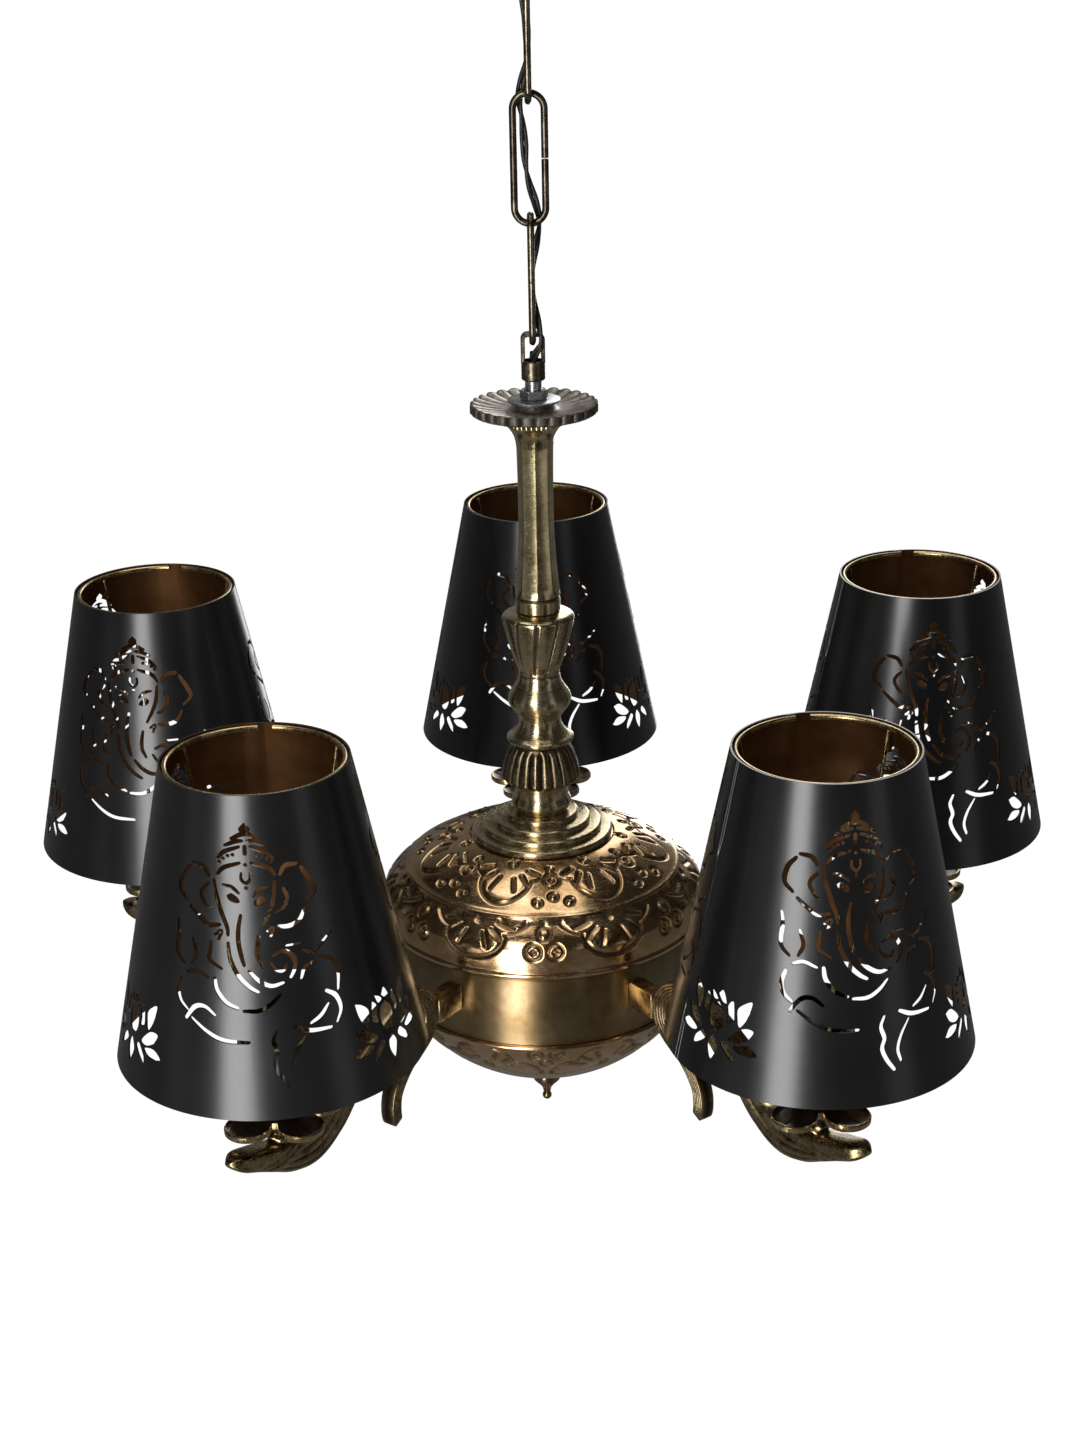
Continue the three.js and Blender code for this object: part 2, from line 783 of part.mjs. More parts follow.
// Its leaf lies round the cup's stem and its scroll round the boss; rows of [out, up, depth, width across]
const leafLine = [
  [41, -7.4, 3.6, 8], [33, -10.6, 6.6, 15], [21, -15.4, 10.4, 17], [7, -20.6, 15.6, 17.5],
  [-7, -24.6, 21.6, 17.5], [-22, -24.4, 27, 17.5], [-37, -17.4, 27, 17], [-52, -6.3, 21, 16],
];
const scrollLine = [
  [91, 2.2, 16, 16], [77, 11.7, 13, 15], [64, 18.2, 12, 14], [53, 23.2, 10.5, 12],
  [43, 23.7, 9.5, 11], [35, 20, 9.5, 10], [30, 13.7, 11, 10], [27.5, 6.7, 12.5, 10],
  [28.5, -0.8, 12, 10], [33, -6.8, 11, 10], [40, -11.8, 10, 10], [48.5, -17.3, 9, 9.5],
  [56, -24.8, 8.5, 9.5], [61, -32.8, 8, 9.5], [62.5, -40.8, 8, 9.5], [62, -47.8, 7.5, 9.5],
  [60.5, -51.3, 6, 9],
];

function armCasting() {
  const rows = [
    ...leafLine.map(([out, ...rest]) => [armRadius + out, ...rest]),
    ...scrollLine.map(([out, ...rest]) => [armBase + out, ...rest]),
  ];
  const curve = new THREE.CatmullRomCurve3(rows.map(([s, z]) => new THREE.Vector3(s, 0, z)));
  const rings = rows.map(([s, z, depth, width], i) => {
    const along = curve.getTangent(i / (rows.length - 1));
    const face = new THREE.Vector3(along.z, 0, -along.x);
    const [w, t] = [width / 2, depth / 2];
    const section = [[-w, -t], [w, -t], [w, t], [-w, t]];
    return section.map(([across, out]) => new THREE.Vector3(s, across, z).addScaledVector(face, out));
  });
  return loft(rings);
}

function arm() {
  const boss = box(bossDepth, bossWidth, bossHeight, armBase + bossDepth / 2, 0, bossLift);
  const stem = cylinder(stemRadius, -stemDepth, cupLift, 8).translate(armRadius, 0, 0);
  const nipple = cylinder(threadRadius, cupLift - 1, cupLift + spigotLength, 8).translate(armRadius, 0, 0);
  const casting = joined([armCasting(), boss, stem, nipple]).rotateZ(-Math.PI / 2);
  return cut(casting, [radialHole(screwRadius + gap, armBase - 1, armBase + screwGrip + gap, bossLift, 0)]);
}

// Screw from inside the band into the arm's boss
function armScrew() {
  const seatRadius = bandInside * drumFlat - gap;
  const screw = ring([
    [0, seatRadius - screwHeadHeight],
    [screwHeadRadius, seatRadius - screwHeadHeight],
    [screwHeadRadius, seatRadius],
    [screwRadius, seatRadius],
    [screwRadius, armBase + screwGrip],
    [0, armBase + screwGrip],
  ], 6);
  return screw.rotateX(Math.PI / 2).translate(0, 0, bossLift);
}

// Five-lobed drip cup, with a rim that stands a little proud
const cupBottom = cupLift + gap;
const cupTop = cupBottom + cupThickness;
const lobes = (azimuth) => 1 - Math.abs(Math.cos(2.5 * azimuth)) ** 0.7;

function dripCup() {
  return ring([
    [bore, cupBottom],
    [bore, cupTop],
    [cupRadius - cupNotch - 4, cupTop - cupRim],
    [cupRadius, cupTop + cupRim, cupNotch],
    [cupRadius - cupRim, cupBottom, cupNotch],
  ], 20, lobes);
}

// Lampholder, with a shoulder for the shade carrier and a screwed neck
const holderBottom = cupTop + gap;
const holderTop = holderBottom + holderHeight;
const shoulder = holderTop - holderNeckHeight;

function lampholder() {
  return ring([
    [bore, holderBottom],
    [13, holderBottom],
    [holderRadius, holderBottom + 14],
    [holderRadius, shoulder],
    [holderNeckRadius, shoulder],
    [holderNeckRadius, holderTop],
    [socketBore, holderTop],
    [socketBore, holderTop - socketDepth],
    [0, holderTop - socketDepth],
    [0, holderBottom + spigotLength],
    [bore, holderBottom + spigotLength],
  ], holderSides);
}

// Shade carrier: a gallery ring on the lampholder, three struts and the open hem ring under the shade's top rim
const shadeBottom = cupLift + shadeRise + 4;
const shadeTop = shadeBottom + shadeHeight;
const hemHeight = shadeTop - hemRadius - 0.4;
const hemLine = shadeTopRadius - shadeWall - gap - hemRadius;
const galleryBottom = shoulder + gap;

function shadeCarrier() {
  const galleryTop = galleryBottom + galleryThickness;
  const gallery = tube(holderNeckRadius + gap, galleryRadius, galleryBottom, galleryTop, holderSides);
  const open = hemGap / hemLine / degree / 2;
  const turns = arc([0, 0], hemLine, backward + open, backward + fullTurn - open, 14);
  const hem = sweep(turns.map(([x, y]) => new THREE.Vector3(x, y, hemHeight)), circle(hemRadius, 4));
  const struts = Array.from({ length: strutCount }, (unused, i) => {
    const foot = new THREE.Vector3(0, -(galleryRadius - 1.4), galleryBottom + galleryThickness / 2);
    const head = new THREE.Vector3(0, -(hemLine - 0.2), hemHeight);
    const turn = (i * fullTurn * degree) / strutCount;
    return sweep([foot, head], circle(strutRadius, 4)).rotateZ(turn);
  });
  return joined([gallery, hem, ...struts]);
}

// Shade: a plain cone of sheet steel, pierced by figures and lotus flowers
const wallSlope = (shadeTopRadius - shadeBottomRadius) / shadeHeight;
const wallRadius = (height) => shadeBottomRadius + wallSlope * height;

// A punch straight through the wall, over an outline of [degrees round, millimetres up]
function piercing(outline, turn) {
  const rounds = outline.map(([round]) => round);
  const middle = (Math.min(...rounds) + Math.max(...rounds)) / 2;
  const flat = outline.map(([round, up]) => (
    new THREE.Vector2(wallRadius(up) * Math.sin((round - middle) * degree), up)
  ));
  const depth = shadeBottomRadius;
  const punch = new THREE.ExtrudeGeometry(new THREE.Shape(flat), { depth, bevelEnabled: false });
  punch.translate(0, 0, 0.4 * depth).rotateX(Math.PI / 2);
  return punch.rotateZ((middle + turn) * degree).translate(0, 0, shadeBottom);
}

// A cut stroke that swells to a width in millimetres and is pointed at both ends
function stroke(points, width) {
  const scale = (up) => wallRadius(up) * degree;
  const left = [];
  const right = [];
  for (let i = 1; i + 1 < points.length; i += 1) {
    const [before, at, after] = [points[i - 1], points[i], points[i + 1]];
    const across = new THREE.Vector2((after[0] - before[0]) * scale(at[1]), after[1] - before[1]).normalize();
    const shift = [(-across.y * width) / 2 / scale(at[1]), (across.x * width) / 2];
    left.push([at[0] + shift[0], at[1] + shift[1]]);
    right.unshift([at[0] - shift[0], at[1] - shift[1]]);
  }
  return [points[0], ...left, points[points.length - 1], ...right];
}

// The seated elephant-headed figure, drawn on a grid of degrees by hundredths of its height
const figureStrokes = [
  [[[-9, 91], [-1, 98], [8, 91]], 3.4],
  [[[-12, 81], [-27, 77], [-13, 63]], 4.6],
  [[[11, 81], [26, 76], [12, 62]], 4.6],
  [[[-4, 68], [-5, 54], [1, 43], [9, 46]], 4.4],
  [[[-13, 55], [-27, 47], [-28, 33]], 3.4],
  [[[13, 54], [26, 49], [28, 36]], 3.4],
  [[[-9.5, 38], [-1, 29], [9.5, 36]], 3],
  [[[-29, 27], [-1, 18], [28, 27]], 4],
  [[[3, 15], [1, 8], [5, 0]], 3],
];
const figureEyes = [
  [[-9, 76], [-3.5, 71], [-8, 71]],
  [[7, 75], [6.5, 70], [2, 70]],
];

// One lotus: a bud, two pairs of petals and a pair of leaves, of [degrees, hundredths of its height]
const lotusPetals = [
  [[0, 36], [3.2, 66], [0, 100], [-3.2, 66]],
  [[3.4, 34], [9.6, 60], [9.4, 94], [4.6, 62]],
  [[-3.4, 34], [-4.6, 62], [-9.4, 94], [-9.6, 60]],
  [[10.4, 34], [18.5, 40], [18.5, 62]],
  [[-10.4, 34], [-18.5, 62], [-18.5, 40]],
  [[1.4, 22], [6, 0], [9.6, 10]],
  [[-1.4, 22], [-9.6, 10], [-6, 0]],
];

function shade() {
  const top = shadeTop;
  const bottom = shadeBottom;
  const wall = ring([
    [shadeTopRadius, top],
    [shadeBottomRadius, bottom],
    [shadeBottomRadius - shadeWall, bottom],
    [shadeTopRadius - shadeWall, top],
  ], shadeSides).rotateZ(Math.PI / shadeSides);
  const figureScale = (shadeHeight - figureFoot - figureHead) / 100;
  const standing = ([round, up]) => [round, figureFoot + up * figureScale];
  const budding = ([round, up]) => [round, lotusFoot + (up * lotusHeight) / 100];
  const figure = [
    ...figureStrokes.map(([points, width]) => stroke(points.map(standing), width)),
    ...figureEyes.map((eye) => eye.map(standing)),
  ];
  const lotus = lotusPetals.map((petal) => petal.map(budding));
  const cutters = [];
  for (let i = 0; i < figureCount; i += 1) {
    const turn = (i * fullTurn) / figureCount;
    figure.forEach((outline) => cutters.push(piercing(outline, turn)));
    lotus.forEach((outline) => cutters.push(piercing(outline, turn + fullTurn / 2 / figureCount)));
  }
  return cut(wall, cutters);
}

// The five arms, each carrying its cup, lampholder, carrier and shade
const armShape = arm();
const screwShape = armScrew();
const cupShape = dripCup();
const holderShape = lampholder();
const carrierShape = shadeCarrier();
const shadeShape = shade();

armAzimuths.forEach((azimuth, i) => {
  const branch = new THREE.Group();
  branch.position.z = drumMiddle;
  branch.rotation.z = azimuth * degree;
  chandelier.add(branch);
  const light = new THREE.Group();
  light.position.y = -armRadius;
  branch.add(light);
  add(`arm_${i + 1}`, armShape, castBrass, branch);
  add(`arm_screw_${i + 1}`, screwShape, steel, branch);
  add(`drip_cup_${i + 1}`, cupShape, darkBrass, light);
  const turned = new THREE.Group();
  turned.rotation.z = (shadeTurns[i] - azimuth) * degree;
  light.add(turned);
  add(`lampholder_${i + 1}`, holderShape, bakelite, turned);
  add(`shade_carrier_${i + 1}`, carrierShape, brass, turned);
  add(`shade_${i + 1}`, shadeShape, blackSteel, turned);
});

export default chandelier;
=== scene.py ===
import json
import math

import bpy
import numpy as np
from mathutils import Matrix, Vector
from mathutils.geometry import delaunay_2d_cdt


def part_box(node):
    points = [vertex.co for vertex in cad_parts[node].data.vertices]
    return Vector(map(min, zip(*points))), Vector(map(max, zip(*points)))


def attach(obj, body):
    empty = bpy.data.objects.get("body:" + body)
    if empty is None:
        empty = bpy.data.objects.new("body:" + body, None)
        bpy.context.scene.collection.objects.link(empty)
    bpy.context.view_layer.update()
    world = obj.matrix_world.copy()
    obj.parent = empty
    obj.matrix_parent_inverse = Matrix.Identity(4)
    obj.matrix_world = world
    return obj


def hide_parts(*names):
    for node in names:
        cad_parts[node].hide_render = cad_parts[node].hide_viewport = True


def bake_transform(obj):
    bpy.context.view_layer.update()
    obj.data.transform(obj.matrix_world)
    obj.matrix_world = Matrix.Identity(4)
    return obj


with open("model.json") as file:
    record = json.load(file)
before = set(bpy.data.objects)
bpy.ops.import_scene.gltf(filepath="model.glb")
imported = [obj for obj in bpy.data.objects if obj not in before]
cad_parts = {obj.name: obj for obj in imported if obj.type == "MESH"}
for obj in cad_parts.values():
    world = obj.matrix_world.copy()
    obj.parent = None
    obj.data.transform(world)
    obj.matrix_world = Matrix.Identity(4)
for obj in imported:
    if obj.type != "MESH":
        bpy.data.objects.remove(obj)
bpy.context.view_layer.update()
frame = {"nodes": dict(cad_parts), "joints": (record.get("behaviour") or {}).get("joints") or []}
mm = 0.001

# The view. The light is seen from a little above its shades, a metre and a half away, by a camera that leans
# about one degree.
view_distance = 1.4304
view_fall = math.radians(21.64)
view_lean = math.radians(-1.1)
lens_length = 60.21
aim = Vector((0, 0, -0.5))
ahead = Vector((0, math.cos(view_fall), -math.sin(view_fall)))
level = Vector((1, 0, 0))
upward = level.cross(ahead)
right = level * math.cos(view_lean) + upward * math.sin(view_lean)
above = upward * math.cos(view_lean) - level * math.sin(view_lean)
camera = bpy.data.objects.new("camera", bpy.data.cameras.new("camera"))
camera.data.lens = lens_length
camera.data.sensor_width = 36
turned_to = Matrix((right, above, -ahead)).transposed().to_4x4()
camera.matrix_world = Matrix.Translation(aim - ahead * view_distance) @ turned_to
bpy.context.scene.collection.objects.link(camera)
bpy.context.scene.camera = camera

# The lead. Two black insulated cores, laid loosely round each other, run from the ceiling terminal through
# the links of the chain and down the rod to the connector in the drum.
core_radius = 1.15
core_offset = 1.17
core_lay = 62
terminal_x = -23.5
hole_x = -17


def span(node):
    """The lowest and the highest corner of a node, in millimetres."""
    return [1000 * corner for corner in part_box(node)]


def levels(node):
    """The lowest and the highest level of a node, in millimetres."""
    low, high = span(node)
    return low.z, high.z


swing = [1000 * joint["pos_m"][2] for joint in frame["joints"]]
bays = [(upper + lower) / 2 for upper, lower in zip(swing, swing[1:])]
rod_mouth = span("centre_rod")[1].z
port = span("drum_connector")[1].z + 9
lead_route = {
    "lead_ceiling": [
        (terminal_x + 2, 0, -14.1), (terminal_x + 3, 0, -21.8), (hole_x - 3, -1, -36), (hole_x, 0, -44),
        (hole_x + 1.5, -2, -56), (-9.9, -6.9, swing[0] + 14), (-4.9, -4.9, swing[0]),
        (-3.3, -3.1, swing[0] - 10), (-0.6, -2.2, swing[0] - 22), (0, -2.2, bays[0]),
    ],
    "lead_link_1": [
        (-0.6, -0.6, swing[1] + 22), (-3.3, 2.9, swing[1] + 10), (-4.9, 4.9, swing[1]),
        (-3.5, 2.9, swing[1] - 10), (-2.6, 0.6, swing[1] - 22), (-2.2, 0, bays[1]),
    ],
    "lead_link_2": [
        (-0.4, 0.5, swing[2] + 22), (3.1, 3.3, swing[2] + 10), (4.9, 4.9, swing[2]),
        (3.3, 3.5, swing[2] - 10), (0.6, 2.6, swing[2] - 22), (0, 2.2, bays[2]),
    ],
    "lead_link_3": [
        (0.6, 0.2, swing[3] + 22), (3.5, -3.7, swing[3] + 10), (4.9, -6.2, swing[3] + 1),
        (3.3, -6.3, swing[3] - 2.5), (1.3, -4.6, swing[3] - 6), (0, -1.4, swing[3] - 9.5),
        (0, 0, rod_mouth + 4),
    ],
    "lead_stem": [
        (0, 0, rod_mouth - 30), (0, 0, rod_mouth - 200), (0, 0, port + 30), (0, 0, port + 7),
        (1.2, 0, port + 2), (6, 0, port - 1.5), (9.5, 0, port - 5), (10, 0, port - 8.7),
    ],
}


def flow(points, per=6):
    """A smooth line through the points, with so many steps to each stretch."""
    points = np.array(points, float)
    ahead_of = np.vstack([2 * points[0] - points[1], points, 2 * points[-1] - points[-2]])
    line = []
    for i in range(len(points) - 1):
        a, b, c, d = ahead_of[i:i + 4]
        for t in np.arange(per) / per:
            line.append(0.5 * (2 * b + (c - a) * t + (2 * a - 5 * b + 4 * c - d) * t**2
                               + (3 * b - a - 3 * c + d) * t**3))
    return np.array(line + [points[-1]])


def frames_along(line):
    """At each point of a line, its direction and two across it that turn no more than they must."""
    along = np.gradient(line, axis=0)
    along /= np.linalg.norm(along, axis=1, keepdims=True)
    side = np.cross(along[0], (0, 1, 0) if abs(along[0][1]) < 0.9 else (1, 0, 0))
    sides = []
    for direction in along:
        side = side - direction * side.dot(direction)
        side /= np.linalg.norm(side)
        sides.append(side)
    sides = np.array(sides)
    return along, sides, np.cross(along, sides)


def skin(rings, looped=False):
    """One closed shell through rings of equally many points, capped at its ends unless it is a loop."""
    rings = np.array(rings, float)
    count, around = rings.shape[:2]
    index = np.arange(count * around).reshape(count, around)
    nearer = index if looped else index[:-1]
    farther = np.roll(index, -1, axis=0) if looped else index[1:]
    faces = np.stack([nearer, np.roll(nearer, -1, 1), np.roll(farther, -1, 1), farther], -1)
    faces = faces.reshape(-1, 4).tolist()
    if not looped:
        faces += [index[0][::-1].tolist(), index[-1].tolist()]
    return rings.reshape(-1, 3), faces


def wire_rings(line, radius, sides):
    """Round sections of one radius, or one radius for each point, along a line."""
    _, across, over = frames_along(line)
    turn = 2 * math.pi * np.arange(sides) / sides
    radius = np.broadcast_to(radius, len(line))[:, None, None]
    outward = across[:, None] * np.cos(turn)[:, None] + over[:, None] * np.sin(turn)[:, None]
    return line[:, None] + radius * outward


def make(name, shells, material, body, hollows_and_shade=None, crease=40):
    """A piece of one or more closed shells, in millimetres, that rides on a body."""
    vertices, faces, start = [], [], 0
    for points, cells in shells:
        vertices.append(points)
        faces += [[start + corner for corner in cell] for cell in cells]
        start += len(points)
    mesh = bpy.data.meshes.new(name)
    mesh.from_pydata((np.vstack(vertices) * mm).tolist(), [], faces)
    # The per-point darkening holds patina in hollows and, on the arms, painted shade.
    if hollows_and_shade is not None:
        mesh.attributes.new("hollow_and_shade", "FLOAT", "POINT").data.foreach_set("value", np.float32(hollows_and_shade))
    mesh.shade_smooth()
    mesh.set_sharp_from_angle(angle=math.radians(crease))
    mesh.materials.append(material)
    thing = bpy.data.objects.new(name, mesh)
    bpy.context.scene.collection.objects.link(thing)
    if body:
        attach(thing, body)
    return thing


def stands_for(thing, node):
    """The piece takes the place of a CAD node, which is hidden."""
    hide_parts(node)


def start_material(name):
    """A new node material, with its shader and two ways to add a node and join it."""
    material = bpy.data.materials.new(name)
    material.use_nodes = True
    tree = material.node_tree
    shader = tree.nodes["Principled BSDF"]

    def node(kind, values=None, **settings):
        made = tree.nodes.new(kind)
        for key, value in settings.items():
            setattr(made, key, value)
        for socket, value in (values or {}).items():
            if isinstance(value, bpy.types.NodeSocket):
                tree.links.new(value, made.inputs[socket])
            else:
                made.inputs[socket].default_value = value
        return made

    def join(output, target):
        tree.links.new(output, shader.inputs[target])

    return material, shader, node, join


def speckle(node, place, size, detail=4, roughness=0.55, stretch=(1, 1, 1)):
    """Even noise with grains of about a size in millimetres."""
    spread = node("ShaderNodeMapping", {"Vector": place, "Scale": stretch})
    noise = node("ShaderNodeTexNoise", {"Vector": spread.outputs[0], "Scale": 1000 / size, "Detail": detail})
    noise.inputs["Roughness"].default_value = roughness
    return noise.outputs["Fac"]


def ramp(node, factor, *stops):
    """Colours at places from 0 to 1."""
    made = node("ShaderNodeValToRGB", {"Fac": factor})
    elements = made.color_ramp.elements
    while len(elements) < len(stops):
        elements.new(0.5)
    for element, (at, colour) in zip(elements, stops):
        element.position = at
        element.color = (*colour, 1)
    return made.outputs["Color"]


def plastic(name, dark, light, dull, grain, depth):
    """A moulded skin: slight mottle, and a fine grain that also breaks up the gloss."""
    material, shader, node, join = start_material(name)
    place = node("ShaderNodeTexCoord").outputs["Object"]
    join(ramp(node, speckle(node, place, 9), (0.3, dark), (0.7, light)), "Base Color")
    fine = speckle(node, place, grain, 3)
    gloss = node("ShaderNodeMapRange", {"Value": fine, "To Min": dull - 0.08, "To Max": dull + 0.08})
    join(gloss.outputs[0], "Roughness")
    bump = node("ShaderNodeBump", {"Height": fine, "Strength": 0.5, "Distance": depth * mm})
    join(bump.outputs[0], "Normal")
    shader.inputs["Specular IOR Level"].default_value = 0.4
    return material


lead_cover = plastic("lead_cover", (0.006, 0.006, 0.007), (0.017, 0.016, 0.016), 0.42, 0.7, 0.03)
lead_bends = {
    "lead_ceiling": ("ceiling_fitting", "chain_link_1", swing[0]),
    "lead_link_1": ("chain_link_1", "chain_link_2", swing[1]),
    "lead_link_2": ("chain_link_2", "chain_link_3", swing[2]),
    "lead_link_3": ("chain_link_3", "chandelier", swing[3]),
}
lead_steps = 9
whole = [point for points in lead_route.values() for point in points]
lead_line = flow(whole, lead_steps)
_, lead_side, lead_over = frames_along(lead_line)
travelled = np.concatenate([[0], np.cumsum(np.linalg.norm(np.diff(lead_line, axis=0), axis=1))])
first = 0
for name, points in lead_route.items():
    last = first + lead_steps * (len(points) - (1 if first == 0 else 0))
    stretch = slice(first, last + 1)
    cores = []
    for side in (0, math.pi):
        turn = (2 * math.pi * travelled[stretch] / core_lay + side)[:, None]
        middle = lead_line[stretch] + core_offset * (
            lead_side[stretch] * np.cos(turn) + lead_over[stretch] * np.sin(turn))
        cores.append(skin(wire_rings(middle, core_radius, 12)))
    if name in lead_bends:
        upper, lower, height = lead_bends[name]
        lead = make(name + "_cores", cores, lead_cover, None)
        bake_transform(lead)
    else:
        lead = make(name + "_cores", cores, lead_cover, "chandelier")
    stands_for(lead, name)
    first = last

# The chain. Three long links of round brass wire, bent to shape and left open by a saw cut in one side, are
# browned and lacquered, and rubbed bright where they bear on each other.
wire_radius = 2.0
seam = 0.8
link_sides = 24


def brass(name, deep, mid, bright, dull=0.26, patina=22, lines=0.0, pits=0.02, cover=0.2,
          spread=(0.36, 0.66), brushed=0.0):
    """Browned brass: a cloudy patina over polished metal, darker in its hollows and in painted shade where a
    piece carries it, under a thin lacquer. A turned piece is brushed round its axis, which draws its lights out
    along the axis."""
    material, shader, node, join = start_material(name)
    place = node("ShaderNodeTexCoord").outputs["Object"]
    cloud = speckle(node, place, patina, 6, 0.6)
    stain = speckle(node, place, patina / 5, 4, 0.65)
    mixed = node("ShaderNodeMix", {0: 0.35, 2: cloud, 3: stain}, data_type="FLOAT")
    tone = ramp(node, mixed.outputs[0], (spread[0], deep), (sum(spread) / 2, mid), (spread[1], bright))
    # This attribute darkens the colour: patina in every piece's hollows, and painted shade on the back and
    # belly of the arms' scroll.
    hollow_and_shade = node("ShaderNodeAttribute", attribute_name="hollow_and_shade").outputs["Fac"]
    shaded = node("ShaderNodeMix", {0: hollow_and_shade, 6: tone, 7: (*(0.22 * c for c in deep), 1)}, data_type="RGBA")
    join(shaded.outputs[2], "Base Color")
    scratch = speckle(node, place, 3.2, 3, 0.7, (1, 1, 9)) if lines else stain
    gloss = node("ShaderNodeMapRange", {"Value": scratch, "From Min": 0.3, "From Max": 0.7})
    gloss.inputs["To Min"].default_value = dull - 0.09
    gloss.inputs["To Max"].default_value = dull + 0.1
    rough = node("ShaderNodeMath", {0: hollow_and_shade, 1: 0.25, 2: gloss.outputs[0]}, operation="MULTIPLY_ADD")
    join(rough.outputs[0], "Roughness")
    grain = speckle(node, place, 1.6, 3)
    height = node("ShaderNodeMix", {0: min(1.0, lines), 2: grain, 3: scratch}, data_type="FLOAT")
    depth = (pits + 0.02 * lines) * mm
    bump = node("ShaderNodeBump", {"Height": height.outputs[0], "Strength": 0.6, "Distance": depth})
    join(bump.outputs[0], "Normal")
    shader.inputs["Metallic"].default_value = 1.0
    if brushed:
        shader.inputs["Anisotropic"].default_value = brushed
        shader.inputs["Anisotropic Rotation"].default_value = 0.25
        join(node("ShaderNodeTangent", direction_type="RADIAL", axis="Z").outputs[0], "Tangent")
    shader.inputs["Coat Weight"].default_value = cover
    shader.inputs["Coat Roughness"].default_value = 0.12
    return material


chain_brass = brass("chain_brass", (0.07, 0.055, 0.037), (0.17, 0.135, 0.09), (0.42, 0.36, 0.27), 0.24, 12)
chain_brown = brass("chain_brown", (0.03, 0.024, 0.018), (0.08, 0.062, 0.042), (0.24, 0.20, 0.14), 0.28, 12)


def quarter(centre, radius, start, end, steps):
    """Points on an arc, by its angles in degrees."""
    turn = np.radians(np.linspace(start, end, steps + 1))
    return [(centre[0] + radius * math.cos(t), centre[1] + radius * math.sin(t)) for t in turn]


for number in (1, 2, 3):
    node_name = f"chain_link_{number}"
    low, high = span(node_name)
    wide = max(high.x - low.x, high.y - low.y)
    bend = wide / 2 - wire_radius
    straight = (high.z - low.z) / 2 - wide / 2
    centre = (high.z + low.z) / 2
    outline = quarter((0, -straight), bend, 0, -180, 28) + quarter((0, straight), bend, 180, 0, 28)
    outline = [(bend, -seam / 2)] + outline + [(bend, seam / 2)]
    flip = -1 if number == 3 else 1
    middle_link = number == 2
    line = np.array([(u, 0, centre + v) if middle_link else (0, flip * u, centre + v) for u, v in outline])
    link = make(node_name + "_wire", [skin(wire_rings(line, wire_radius, link_sides))],
                chain_brown if middle_link else chain_brass, node_name)
    stands_for(link, node_name)

# The ceiling fitting. A pressed cup hides a slotted steel bar, and a screwed loop with a ring collar carries
# the chain. The mains joins the lead in a porcelain block beside the bar's bush.
cup_sheet = 1.2
loop_wire = 2.0


def turned(profile, steps=96, shape=None):
    """A closed outline of (radius, height) turned about the axis; shape moves each point by its azimuth."""
    profile = np.array(profile, float)
    azimuth = 2 * math.pi * np.arange(steps) / steps
    radius = np.broadcast_to(profile[:, 0], (steps, len(profile))).copy()
    height = np.broadcast_to(profile[:, 1], (steps, len(profile))).copy()
    sunk = np.zeros_like(radius)
    if shape:
        radius, height, sunk = shape(azimuth[:, None], radius, height)
        sunk = np.broadcast_to(sunk, radius.shape)
    rings = np.stack([radius * np.sin(azimuth)[:, None], -radius * np.cos(azimuth)[:, None], height], -1)
    points, faces = skin(rings, looped=True)
    return (points, faces), np.clip(sunk, 0, 1).reshape(-1)


def spin(name, node, profile, material, body="chandelier", steps=96, shape=None, crease=40):
    """A turned piece that stands for a node."""
    shell, sunk = turned(profile, steps, shape)
    stands_for(make(name, [shell], material, body, sunk, crease), node)


def refinish(node, material):
    """A plain CAD solid that is kept, with a new finish."""
    materials = frame["nodes"][node].data.materials
    materials.clear()
    materials.append(material)


rich_brass = brass("rich_brass", (0.34, 0.23, 0.11), (0.54, 0.39, 0.21), (0.68, 0.53, 0.31), 0.28, 30, 0.5,
                   brushed=0.8)
mild_steel = brass("mild_steel", (0.22, 0.22, 0.23), (0.34, 0.34, 0.35), (0.48, 0.48, 0.49), 0.38, 10, 0.3,
                   0.03, 0.0)
cup_low, cup_high = span("canopy")
cup_radius = cup_high.x
cup_depth = cup_high.z - cup_low.z
throat = 12
bore = 5.3
outside = flow([(cup_radius, 0), (cup_radius - 1.2, -8), (cup_radius - 4.8, -0.42 * cup_depth),
                (cup_radius - 18.5, -0.8 * cup_depth), (throat + 14, -0.94 * cup_depth),
                (throat, -cup_depth)], 8)
inside = outside[::-1] + (-cup_sheet * 0.8, cup_sheet)
inside[-1] = (cup_radius - cup_sheet, 0)
canopy_outline = [*outside, (bore, -cup_depth), (bore, -cup_depth + cup_sheet), *inside]
spin("canopy_cup", "canopy", canopy_outline, rich_brass, "ceiling_fitting")
low, high = span("canopy_collar")
ring_radius = high.x
ring = [(bore, low.z), (ring_radius - 3, low.z), (ring_radius - 1, low.z + 1), (ring_radius, low.z + 2.6),
        (ring_radius - 1.6, low.z + 4.2), (ring_radius - 1.8, high.z - 2.2), (ring_radius, high.z - 1.2),
        (ring_radius, high.z), (bore, high.z)]
spin("collar_ring", "canopy_collar", ring, rich_brass, "ceiling_fitting")
low, high = span("ceiling_loop")
eye_radius = 8
eye_centre = low.z + eye_radius + loop_wire
turn = 2 * math.pi * np.arange(64) / 64
eye_line = np.stack([eye_radius * np.cos(turn), 0 * turn, eye_centre + eye_radius * np.sin(turn)], -1)
section = 2 * math.pi * np.arange(20) / 20
eye_out = np.stack([np.cos(turn), 0 * turn, np.sin(turn)], -1)
eye = eye_line[:, None] + loop_wire * (eye_out[:, None] * np.cos(section)[:, None]
                                       + np.array((0, 1, 0)) * np.sin(section)[:, None])
stalk = [(radius, eye_centre + eye_radius + up) for radius, up in
         ((0, -1.6), (5.4, -1.2), (6.5, 0), (6.5, 4.6), (5, 5))] + [(5, high.z), (0, high.z)]
loop = make("loop_eye", [skin(eye, looped=True), turned(stalk, 40)[0]], chain_brass, "ceiling_fitting")
stands_for(loop, "ceiling_loop")
refinish("ceiling_bar", mild_steel)
